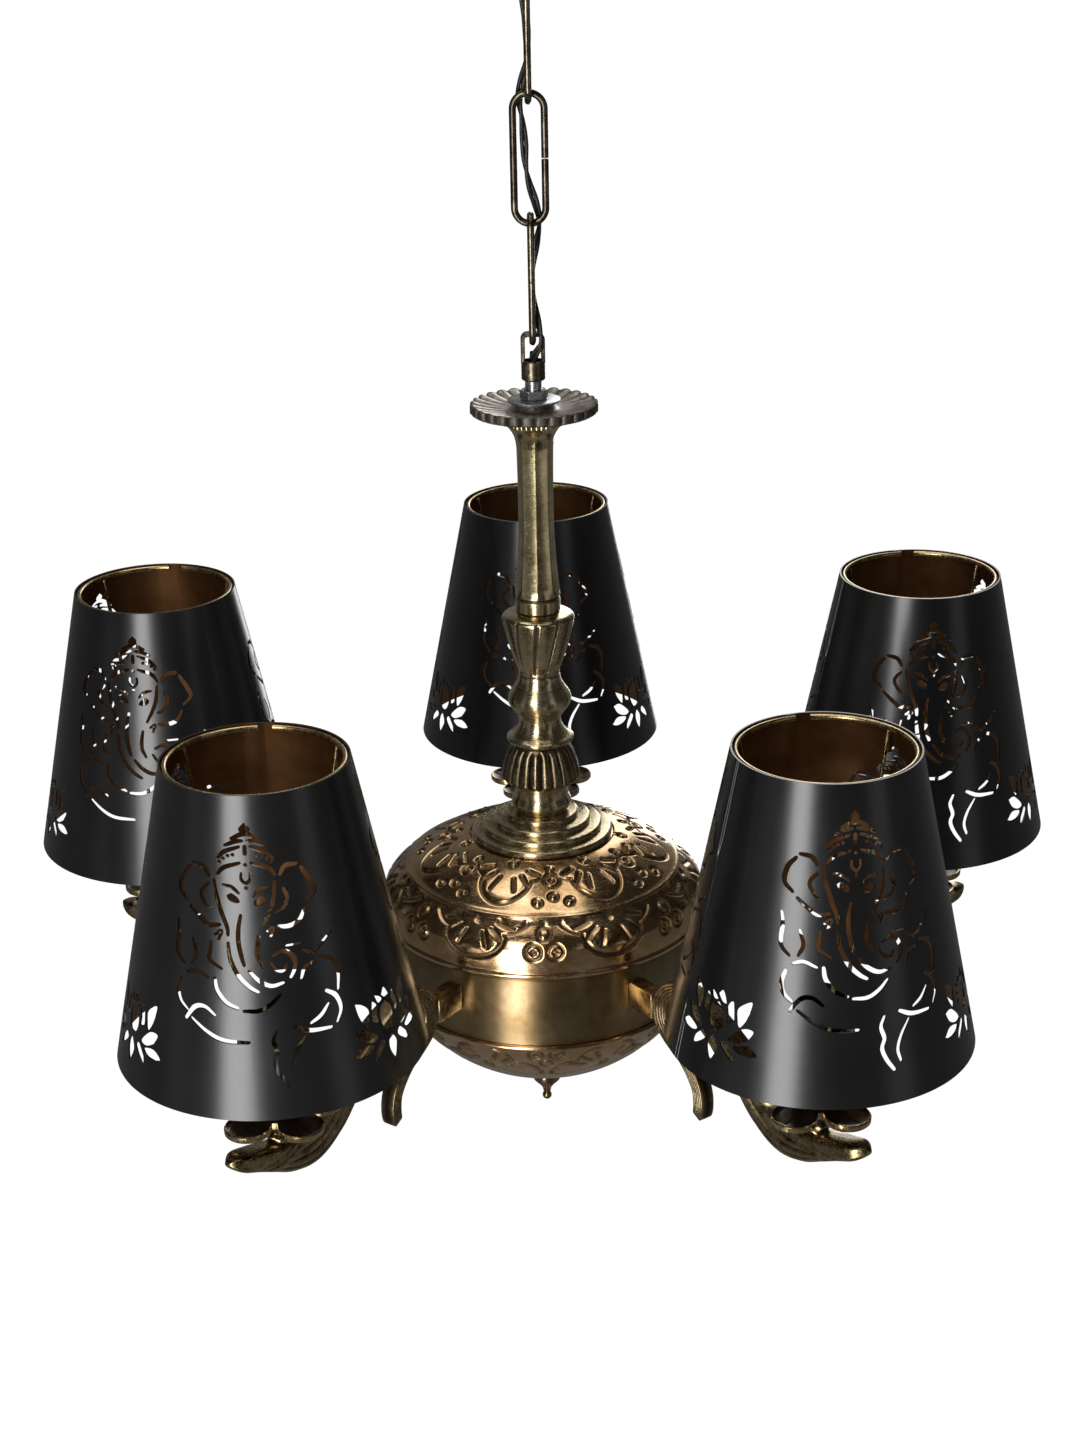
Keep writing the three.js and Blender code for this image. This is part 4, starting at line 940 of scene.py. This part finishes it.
def repeat(name, shells, material, node, turns, sunk=None, out=arm_radius):
    """The same piece at every arm, out from the axis and turned, sharing the mesh that it gives back."""
    thing = make(f"{name}_1", shells, material, None, sunk)
    for number, (azimuth, turn) in enumerate(zip(arm_azimuths, turns), 1):
        if number > 1:
            thing = bpy.data.objects.new(f"{name}_{number}", thing.data)
            bpy.context.scene.collection.objects.link(thing)
        a = math.radians(azimuth)
        place = Vector((math.sin(a) * out, -math.cos(a) * out, arm_level)) * mm
        thing.matrix_world = Matrix.Translation(place) @ Matrix.Rotation(math.radians(turn), 4, "Z")
        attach(thing, "chandelier")
        stands_for(thing, f"{node}_{number}")
    return thing.data


def second_finish(mesh, material, where):
    """Another finish on some of the faces."""
    mesh.materials.append(material)
    mesh.polygons.foreach_set("material_index", np.int32(where))


arm_turns = [azimuth - 90 for azimuth in arm_azimuths]
arm_mesh = repeat("arm_casting", arm_shells, arm_brass, "arm", arm_turns, arm_sunk_and_shade, 0)
second_finish(arm_mesh, gilt, np.arange(len(arm_mesh.polygons)) >= len(arm_mesh.polygons) - len(boss[1]))
for number in range(1, 6):
    refinish(f"arm_screw_{number}", mild_steel)

# The drip cups. A flat five-lobed flower of dark bronzed brass, with a raised rim that is rubbed bright.
cup_foot, cup_top = (level - arm_level for level in levels("drip_cup_4"))
lobe_reach = 36.8
lobe_centre, lobe_radius, cup_hub = 24.4, 12.4, 18
rim_steps = (6, 10)
cup_bronze = brass("cup_bronze", (0.07, 0.04, 0.024), (0.17, 0.10, 0.058), (0.34, 0.235, 0.13), 0.3, 12, 0,
                   0.05, spread=(0.35, 0.85))


def cup_shape(azimuth, radius, height):
    """Five round lobes with a vein between each two."""
    turn = (azimuth + math.pi / 5) % (2 * math.pi / 5) - math.pi / 5
    half = np.sqrt(np.clip(lobe_radius**2 - (lobe_centre * np.sin(turn)) ** 2, 0, None))
    outline = np.maximum(lobe_centre * np.cos(turn) * (half > 0) + half, cup_hub)
    share = np.clip((radius - 14) / (lobe_reach - 14), 0, 1)
    reach = np.where(radius > 14, 14 + (radius - 14) * (outline - 14) / (lobe_reach - 14), radius)
    vein = np.exp(-(np.sin(2.5 * azimuth) / 0.06) ** 2) * share * (height > cup_foot + 1.2) * (share < 0.9)
    return reach, height - 0.3 * vein, 0.6 * vein + 0.5 * (share < 0.85)


cup_flat = cup_top - 0.8
cup_outline = under(cup_flat, (bore, 0), (12, 0), (19, 0.5), (28, 1), (32, 0.8), (34.4, 0), (35.4, -0.6),
                    (36.2, -0.7), (36.8, -0.2))
cup_outline += under(cup_foot, (36.6, -0.9), (35.8, -0.1), (33, -0.2), (14, 0), (bore, 0))
cup_shell, cup_sunk = turned(cup_outline, 240, cup_shape)
cup_mesh = repeat("cup_flower", [cup_shell], cup_bronze, "drip_cup", arm_azimuths, cup_sunk)
step_of_outline = np.arange(len(cup_mesh.polygons)) % len(cup_outline)
second_finish(cup_mesh, gilt, (step_of_outline >= rim_steps[0]) & (step_of_outline <= rim_steps[1]))

# The lampholders. Black moulded holders with a ribbed skirt, a shoulder for the shade carrier and a screwed
# neck that is open to the bulb's cap.
holder_foot, holder_top = (level - arm_level for level in levels("lampholder_4"))
shoulder = holder_top - 18
rib_pairs = 18
bakelite = plastic("bakelite", (0.008, 0.007, 0.006), (0.022, 0.018, 0.016), 0.36, 1.2, 0.03)


def holder_shape(azimuth, radius, height):
    """Grip ribs round the skirt."""
    ribs = np.abs(np.sin(rib_pairs * azimuth))
    ribbed = (np.abs(height - (shoulder - 15)) < 9) * (radius > 18)
    return radius - 0.6 * (1 - ribs) * ribbed, height, 0 * radius


neck = []
for number in range(5):
    z = shoulder + 2.5 + 3 * number
    neck += [(13.6, z), (14.2, z + 0.8), (14.2, z + 1.6), (13.6, z + 2.4)]
holder_outline = [
    *under(holder_foot, (bore, 0), (12.6, 0), (13.2, -0.6)),
    *flow(under(holder_foot, (14, -3), (18.4, -11), (19.2, -15)), 5),
    *under(shoulder, (19.3, 26), (19.3, 23.5), (19.3, 15), (19.3, 6.5), (19.3, 4), (19.0, 0.6), (18.4, 0),
           (14.0, 0)), *neck, (14.0, holder_top), (13.3, holder_top),
    (13.2, holder_top - 0.6), (13.2, holder_top - 38), (0, holder_top - 38), (0, holder_foot + 14),
    (bore, holder_foot + 14),
]
holder_shell, _ = turned(holder_outline, 144, holder_shape)
shade_turns = [-1, 9, 1, 0, -8]
repeat("holder_moulding", [holder_shell], bakelite, "lampholder", shade_turns)

# The shade carriers. A pressed ring lies on the holder's shoulder, and three gilt wires rise from it to an
# open ring of thick wire, which the shade's top edge hangs over.
carrier_foot = levels("shade_carrier_4")[0] - arm_level
shade_foot, shade_top = (level - arm_level for level in levels("shade_4"))
hem_level = shade_top - 2.0
hem_reach = 46.1
hem_gap = 8
gallery = [(14.8, carrier_foot), (19.3, carrier_foot), (19.5, carrier_foot + 0.8), (19.3, carrier_foot + 1.6),
           (14.8, carrier_foot + 1.6)]
open_turn = math.degrees(hem_gap / hem_reach) / 2
hem_line = np.array([(x, y, hem_level) for x, y in
                     quarter((0, 0), hem_reach, 90 + open_turn, 450 - open_turn, 120)])
carrier = [turned(gallery, 72)[0], skin(wire_rings(hem_line, 1.5, 16))]
for number in range(3):
    a = 2 * math.pi * number / 3
    foot_point = np.array((18.2 * math.sin(a), -18.2 * math.cos(a), carrier_foot + 0.8))
    head_point = np.array((hem_reach * math.sin(a), -hem_reach * math.cos(a), hem_level))
    carrier.append(skin(wire_rings(np.linspace(foot_point, head_point, 12), 1.2, 12)))
repeat("carrier_wires", carrier, gilt, "shade_carrier", shade_turns)

# The shades. Flat sheet steel is pierced, rolled to a cone and welded, then powder-coated satin black
# outside and lacquered a dull golden brown inside. Each has three seated figures with a lotus between each
# two.
sheet = 0.9
top_radius, foot_radius = 48.9, 82.2
shade_height = shade_top - shade_foot
columns = 144
rows = 8
field_start = -80
seam_start, seam_end = 183, 191
figure = [
    (2.2, [(-7, 142), (0, 144.4), (7, 142)]),
    (2.0, [(-10.5, 138.6), (-5, 140.6), (-1.4, 141)]),
    (2.0, [(10.5, 138.6), (5, 140.6), (1.4, 141)]),
    (2.0, [(-14.5, 132), (-10.5, 135.6), (-3, 138)]),
    (2.0, [(14, 131.5), (10, 135.4), (3, 138)]),
    (2.6, [(0, 138), (0, 134.4)]),
    (2.0, [(-14.5, 124), (-11, 127.6), (-3, 130)]),
    (2.0, [(14.5, 123), (11, 127.4), (3, 130)]),
    (1.6, [(-2.2, 125), (-2.2, 122), (0, 120), (2.2, 122), (2.2, 125)]),
    (2.0, [(-16, 121), (-15, 115), (-12, 105), (-9.4, 98), (-9, 94)]),
    (2.0, [(14, 120), (13, 112), (10.4, 105), (7.4, 99)]),
    (1.7, [(-11.4, 119), (-7, 118), (-3.6, 115)]),
    (1.7, [(10.4, 117.4), (6.4, 116.6), (3.2, 113.6)]),
    (2.3, [(-19, 123), (-22, 127), (-28, 128)]),
    (2.3, [(-30, 126), (-34, 121), (-35, 113.6), (-30.6, 109)]),
    (2.3, [(-28, 106), (-22, 101), (-18, 98.4), (-13, 99)]),
    (1.9, [(-19, 119), (-22, 116), (-22.4, 112.6), (-19.4, 108), (-17, 107)]),
    (2.3, [(17, 123), (20, 127), (26, 127)]),
    (2.3, [(28, 125), (31.6, 118), (33.4, 112), (29, 108)]),
    (2.3, [(27, 104), (24, 99), (19, 97), (14, 97.4)]),
    (1.9, [(18, 116), (19.4, 111), (17, 106), (13.6, 104.4)]),
    (1.8, [(-15, 94), (-12, 96), (-13.4, 91.6)]),
    (1.8, [(9, 95.6), (11.6, 97), (10.4, 93)]),
    (2.1, [(-3, 104), (-4.2, 97), (-4.2, 90), (-3, 83), (-2, 79)]),
    (2.1, [(4.8, 93.4), (4, 88), (4, 83), (6, 78)]),
    (2.1, [(-9, 90), (-8, 82), (-4.4, 73.4), (0, 68), (3.4, 65.4)]),
    (2.1, [(0, 76), (4, 71), (9, 68), (14, 69)]),
    (2.1, [(11, 83), (15, 85), (18.4, 83), (20, 79), (19.4, 75), (17.6, 71.4)]),
    (1.7, [(9.6, 79.4), (11.6, 76), (14.4, 75), (16, 77.4)]),
    (2.1, [(-35, 98), (-34, 92), (-34.4, 85), (-33.4, 80.6), (-30, 77)]),
    (1.9, [(-26, 90), (-24, 83), (-26, 77.4)]),
    (1.9, [(-17, 90), (-17.4, 85), (-17.4, 81), (-12, 77)]),
    (1.9, [(-28, 73), (-23.6, 74.4), (-18, 72)]),
    (2.1, [(-31, 69), (-32.4, 63), (-31, 57.4), (-27.4, 53.6)]),
    (2.1, [(-15, 72), (-14, 66), (-10, 60), (-5, 57.2)]),
    (2.1, [(-2.6, 56), (3.4, 56), (8.4, 59), (12.4, 63.4)]),
    (2.1, [(-28, 49), (-24, 55.6), (-19.4, 56.6), (-15, 53)]),
    (2.1, [(-25, 49.6), (-18, 44), (-11, 40.6), (-1, 40)]),
    (2.1, [(10, 45), (8.4, 40), (9.6, 34), (8.4, 29), (10, 23), (13, 17)]),
    (1.9, [(21, 41), (17, 34), (15, 27), (16, 21)]),
    (2.1, [(17, 46.4), (23, 43), (32, 42)]),
    (2.1, [(24, 46.6), (28.4, 49.4), (32, 54)]),
    (2.1, [(32, 61), (36, 57), (37.4, 50), (35, 44)]),
    (2.1, [(31, 79), (36.6, 76), (38.8, 69), (37.6, 60)]),
    (1.7, [(17, 87.4), (23, 87.4)]),
    (1.7, [(24, 84), (28, 82), (34, 86), (38.6, 90)]),
    (1.9, [(22, 70), (24, 75), (28.6, 77)]),
]
figure_dots = [(side * across, up) for side in (-1, 1) for across, up in
               ((6.4, 134), (9, 133.4), (11.4, 132), (13.4, 130.2))] + [(0, 129), (0, 117.6)]
crown_and_eyes = [[(0, 150), (-2.8, 147), (-1.8, 145), (0, 146), (1.8, 145), (2.8, 147)],
                  [(-10, 113.8), (-7.4, 115), (-4.2, 112.8), (-3.4, 110.4), (-6.4, 110.2), (-9, 111.6)],
                  [(9.6, 111.8), (7, 113.4), (4, 111.4), (3.2, 109), (6.6, 108.8), (9, 110)]]
lotus = [[(0.3, 43.2), (-4.4, 40.8), (-5.9, 35.3), (-3.1, 28.5), (2.6, 28.5), (5.3, 33), (4.6, 38.5)],
         [(-6.7, 48.5), (-3.4, 46.8), (-1, 44.4), (-3.4, 43.2), (-5.4, 44.4)],
         [(-1.6, 46.9), (1.9, 49.8), (5.2, 44), (2.4, 43.4), (0.4, 44.8)],
         [(0, 25.6), (3.6, 20.4), (2.4, 16), (-0.4, 12.2), (-3.4, 17.5), (-3, 22.4)]]
lotus_side = [[(-9.2, 46.4), (-6, 43), (-7.2, 38), (-7.2, 34.2), (-11.3, 36.2), (-10.8, 41.4)],
              [(-20.4, 48.9), (-16.5, 47.2), (-12.4, 43.2), (-12.7, 39), (-14.6, 34), (-17.9, 37.7),
               (-19.8, 42.8)],
              [(-23.7, 34.2), (-19.5, 34.9), (-14.9, 32.5), (-9.4, 26.6), (-14.3, 25.5), (-21.2, 29)],
              [(-27.7, 22.6), (-21.8, 26.2), (-13.4, 24), (-17.1, 21.2), (-23.8, 20.8)],
              [(-8.4, 25), (-5.2, 22.6), (-9.3, 18.6), (-14.8, 15.6), (-14.2, 19.8)]]
lotus += lotus_side + [[(-u, v) for u, v in reversed(outline)] for outline in lotus_side]


def cone_radius(up):
    """The shade's outer radius at a height above its rim."""
    return foot_radius + (top_radius - foot_radius) * up / shade_height


def to_sheet(points):
    """Degrees round the cone and millimetres up it, to millimetres on the flat sheet."""
    points = np.array(points, float)
    scale = np.radians(cone_radius(points[:, 1]))
    return np.stack([points[:, 0] * scale, points[:, 1]], -1)


def from_sheet(points):
    """The way back from the flat sheet."""
    scale = np.radians(cone_radius(points[:, 1]))
    return np.stack([points[:, 0] / scale, points[:, 1]], -1)


def slot_cut(width, points):
    """A cut line with round ends that narrows a little towards them."""
    line = flow(to_sheet(points), 5) if len(points) > 2 else to_sheet(points)
    along = np.gradient(line, axis=0)
    along /= np.linalg.norm(along, axis=1, keepdims=True)
    across = np.stack([-along[:, 1], along[:, 0]], -1)
    t = np.linspace(-1, 1, len(line))[:, None]
    half = 0.6 * width * (1 - 0.3 * t**2)
    left, right_side = line + across * half, line - across * half
    cap = []
    for end, way in ((-1, 1), (0, -1)):
        a = math.atan2(along[end][1] * way, along[end][0] * way)
        cap.append([line[end] + half[end] * np.array((math.cos(a + s), math.sin(a + s)))
                    for s in np.radians((45, 0, -45))])
    return from_sheet(np.array([*left, *cap[0], *right_side[::-1], *cap[1]]))


def petal_cut(outline):
    """A petal's opening, smoothed, from millimetres on the flat sheet."""
    return from_sheet(flow([*outline, outline[0]], 4)[:-1])


def dot_cut(place, radius=1.1):
    """A round hole."""
    return from_sheet(np.array(quarter(to_sheet([place])[0], radius, 0, 360, 8)[:-1]))


one_figure = [slot_cut(width, points) for width, points in figure] + [dot_cut(place) for place in figure_dots]
one_figure += [petal_cut(outline) for outline in crown_and_eyes]
one_lotus = [petal_cut(outline) for outline in lotus]
cuts = []
for turn in (0, 120, 240):
    cuts += [outline + (turn, 0) for outline in one_figure]
    cuts += [outline + (turn - 60, 0) for outline in one_lotus]

flat_scale = math.radians((top_radius + foot_radius) / 2)
corners, edges, cells = [], [], []
for column in range(columns + 1):
    across = field_start + 360 * column / columns
    edges.append((len(corners), len(corners) + 1))
    corners += [(across, 0), (across, shade_height)]
for row in range(rows + 1):
    up = shade_height * row / rows
    edges.append((len(corners), len(corners) + 1))
    corners += [(field_start, up), (field_start + 360, up)]
for outline in cuts:
    behind = np.roll(outline, 1, axis=0)
    if np.sum(behind[:, 0] * outline[:, 1] - outline[:, 0] * behind[:, 1]) < 0:
        outline = outline[::-1]
    cells.append(list(range(len(corners), len(corners) + len(outline))))
    corners += [tuple(point) for point in outline]
flat = [Vector((across * flat_scale, up)) for across, up in corners]
points, _, triangles, _, _, origins = delaunay_2d_cdt(flat, edges, cells, 0, 1e-4)
wall = [list(triangle) for triangle, inside_of in zip(triangles, origins) if not inside_of]
field = np.array([(point.x / flat_scale, point.y) for point in points])
key = {}
joined_to = []
for number, (across, up) in enumerate(field):
    place = (round((across - field_start) % 360, 4) % 360, round(up, 3))
    joined_to.append(key.setdefault(place, number))
wall = [[joined_to[corner] for corner in triangle] for triangle in wall]
wall = [triangle for triangle in wall if len(set(triangle)) == 3]
neighbours = {}
for number, triangle in enumerate(wall):
    for corner in triangle:
        neighbours.setdefault(corner, []).append(number)
reached, waiting = {0}, [0]
while waiting:
    for corner in wall[waiting.pop()]:
        for number in neighbours[corner]:
            if number not in reached:
                reached.add(number)
                waiting.append(number)
wall = [triangle for number, triangle in enumerate(wall) if number in reached]
used = sorted({corner for triangle in wall for corner in triangle})
renumber = {old: new for new, old in enumerate(used)}
wall = [[renumber[corner] for corner in triangle] for triangle in wall]
field = field[used]
open_edges = {}
for triangle in wall:
    for a, b in zip(triangle, triangle[1:] + triangle[:1]):
        if open_edges.pop((b, a), None) is None:
            open_edges[(a, b)] = True
angle = np.radians(field[:, 0])
skins = []
overlap = 0.5 * ((field[:, 0] > seam_start) & (field[:, 0] < seam_end))
for inset in (0, sheet + overlap):
    radius = cone_radius(field[:, 1]) - inset
    skins.append(np.stack([radius * np.sin(angle), -radius * np.cos(angle), shade_foot + field[:, 1]], -1))
count = len(field)
faces = list(wall)
faces += [[corner + count for corner in reversed(triangle)] for triangle in wall]
faces += [[b, a, a + count, b + count] for a, b in open_edges]


def coating(name, dark, light, patch, gloss, grain, metal, shine):
    """A sprayed coat: patches of colour and gloss, each with its size and detail, and the spray's grain."""
    material, shader, node, join = start_material(name)
    place = node("ShaderNodeTexCoord").outputs["Object"]
    join(ramp(node, speckle(node, place, *patch), (0.3, dark), (0.7, light)), "Base Color")
    size, detail, least, most = gloss
    uneven = speckle(node, place, size, detail)
    sheen = node("ShaderNodeMapRange", {"Value": uneven, "To Min": least, "To Max": most})
    join(sheen.outputs[0], "Roughness")
    size, strength = grain
    height = speckle(node, place, size, 2)
    bump = node("ShaderNodeBump", {"Height": height, "Strength": strength, "Distance": 0.03 * mm})
    join(bump.outputs[0], "Normal")
    shader.inputs["Metallic"].default_value = metal
    shader.inputs["Specular IOR Level"].default_value = shine
    return material


shade_black = coating("shade_black", (0.003, 0.003, 0.0034), (0.005, 0.0048, 0.0052), (30, 3),
                      (25, 3, 0.23, 0.28), (0.9, 0.25), 0.0, 0.6)
shade_lining = coating("shade_lining", (0.15, 0.066, 0.024), (0.25, 0.125, 0.052), (18, 5),
                       (2, 3, 0.38, 0.5), (0.8, 0.3), 1.0, 0.5)
shade_shell = (np.vstack(skins), faces)
shade_mesh = repeat("shade_cone", [shade_shell], shade_black, "shade", shade_turns)
second_finish(shade_mesh, shade_lining, np.arange(len(faces)) // len(wall) == 1)

# The studio. A white floor far below and a white surround for the eye, one tall soft lamp to the left of the
# camera, fainter ones beside and behind, and a broad one above. Their brightness is against white. Metal
# sees a dim room with a brighter wall behind the light.
floor_level = -2.5
floor_reach = 70


def float_mix(nodes, links, factor, plain, chosen):
    """One of two values by a factor, each given as a number or an output."""
    made = nodes.new("ShaderNodeMix")
    for socket, value in ((0, factor), (2, plain), (3, chosen)):
        if isinstance(value, bpy.types.NodeSocket):
            links.new(value, made.inputs[socket])
        else:
            made.inputs[socket].default_value = value
    return made.outputs[0]


def seen_and_mirrored(nodes, links):
    """Whether a ray comes from the eye or through glass, and whether it comes off metal."""
    rays = nodes.new("ShaderNodeLightPath")
    either = nodes.new("ShaderNodeMath")
    either.operation = "MAXIMUM"
    links.new(rays.outputs["Is Camera Ray"], either.inputs[0])
    links.new(rays.outputs["Is Transmission Ray"], either.inputs[1])
    return either.outputs[0], rays.outputs["Is Glossy Ray"]


floor_mesh = bpy.data.meshes.new("floor")
floor_mesh.from_pydata([(x * floor_reach, y * floor_reach, floor_level)
                        for x, y in ((-1, -1), (1, -1), (1, 1), (-1, 1))], [], [(0, 1, 2, 3)])
floor = bpy.data.objects.new("floor", floor_mesh)
bpy.context.scene.collection.objects.link(floor)
floor_white, shader, node, join = start_material("floor_white")
shader.inputs["Base Color"].default_value = (0.22, 0.22, 0.22, 1)
shader.inputs["Roughness"].default_value = 0.9
shader.inputs["Specular IOR Level"].default_value = 0.1
shader.inputs["Emission Color"].default_value = (1, 1, 1, 1)
nodes, links = floor_white.node_tree.nodes, floor_white.node_tree.links
seen, mirrored = seen_and_mirrored(nodes, links)
join(float_mix(nodes, links, seen, float_mix(nodes, links, mirrored, 0.0, 0.03), 0.94), "Emission Strength")
floor_mesh.materials.append(floor_white)


lamp_aim = Vector((0, 0, -0.55))
for name, azimuth, distance, height, size, brightness in (
    ("main_lamp", -22, 1.3, -0.45, (0.42, 2.1), 9.0),
    ("left_lamp", -62, 1.9, -0.2, (0.5, 2.2), 0.15),
    ("right_lamp", 50, 1.9, -0.2, (0.6, 2.2), 0.35),
    ("back_lamp", 168, 1.9, -0.2, (0.5, 2.2), 3.0),
    ("top_lamp", 201.8, 0.2693, 1.4, (1.2, 1.4), 2.4),
):
    a = math.radians(azimuth)
    place = Vector((distance * math.sin(a), -distance * math.cos(a), height))
    data = bpy.data.lights.new(name, "AREA")
    data.shape = "RECTANGLE"
    data.size, data.size_y = size
    data.energy = math.pi * size[0] * size[1] * brightness
    lamp = bpy.data.objects.new(name, data)
    facing = (lamp_aim - place).to_track_quat("-Z", "Y").to_matrix().to_4x4()
    lamp.matrix_world = Matrix.Translation(place) @ facing
    lamp.visible_camera = False
    bpy.context.scene.collection.objects.link(lamp)

world = bpy.data.worlds.new("studio")
bpy.context.scene.world = world
world.use_nodes = True
nodes, links = world.node_tree.nodes, world.node_tree.links
nodes.clear()
output = nodes.new("ShaderNodeOutputWorld")
surround = nodes.new("ShaderNodeBackground")
links.new(surround.outputs[0], output.inputs["Surface"])
direction = nodes.new("ShaderNodeTexCoord")
axes = nodes.new("ShaderNodeSeparateXYZ")
links.new(direction.outputs["Generated"], axes.inputs[0])
wall_behind = nodes.new("ShaderNodeMapRange")
wall_behind.interpolation_type = "SMOOTHSTEP"
links.new(axes.outputs["Y"], wall_behind.inputs["Value"])
for socket, value in (("From Min", 0.5), ("From Max", 0.95), ("To Min", 0.03), ("To Max", 0.18)):
    wall_behind.inputs[socket].default_value = value
seen, mirrored = seen_and_mirrored(nodes, links)
surround.inputs["Color"].default_value = (1, 1, 1, 1)
room = float_mix(nodes, links, mirrored, 0.36, wall_behind.outputs[0])
links.new(float_mix(nodes, links, seen, room, 1.0), surround.inputs["Strength"])
bpy.context.scene.view_settings.view_transform = "Standard"
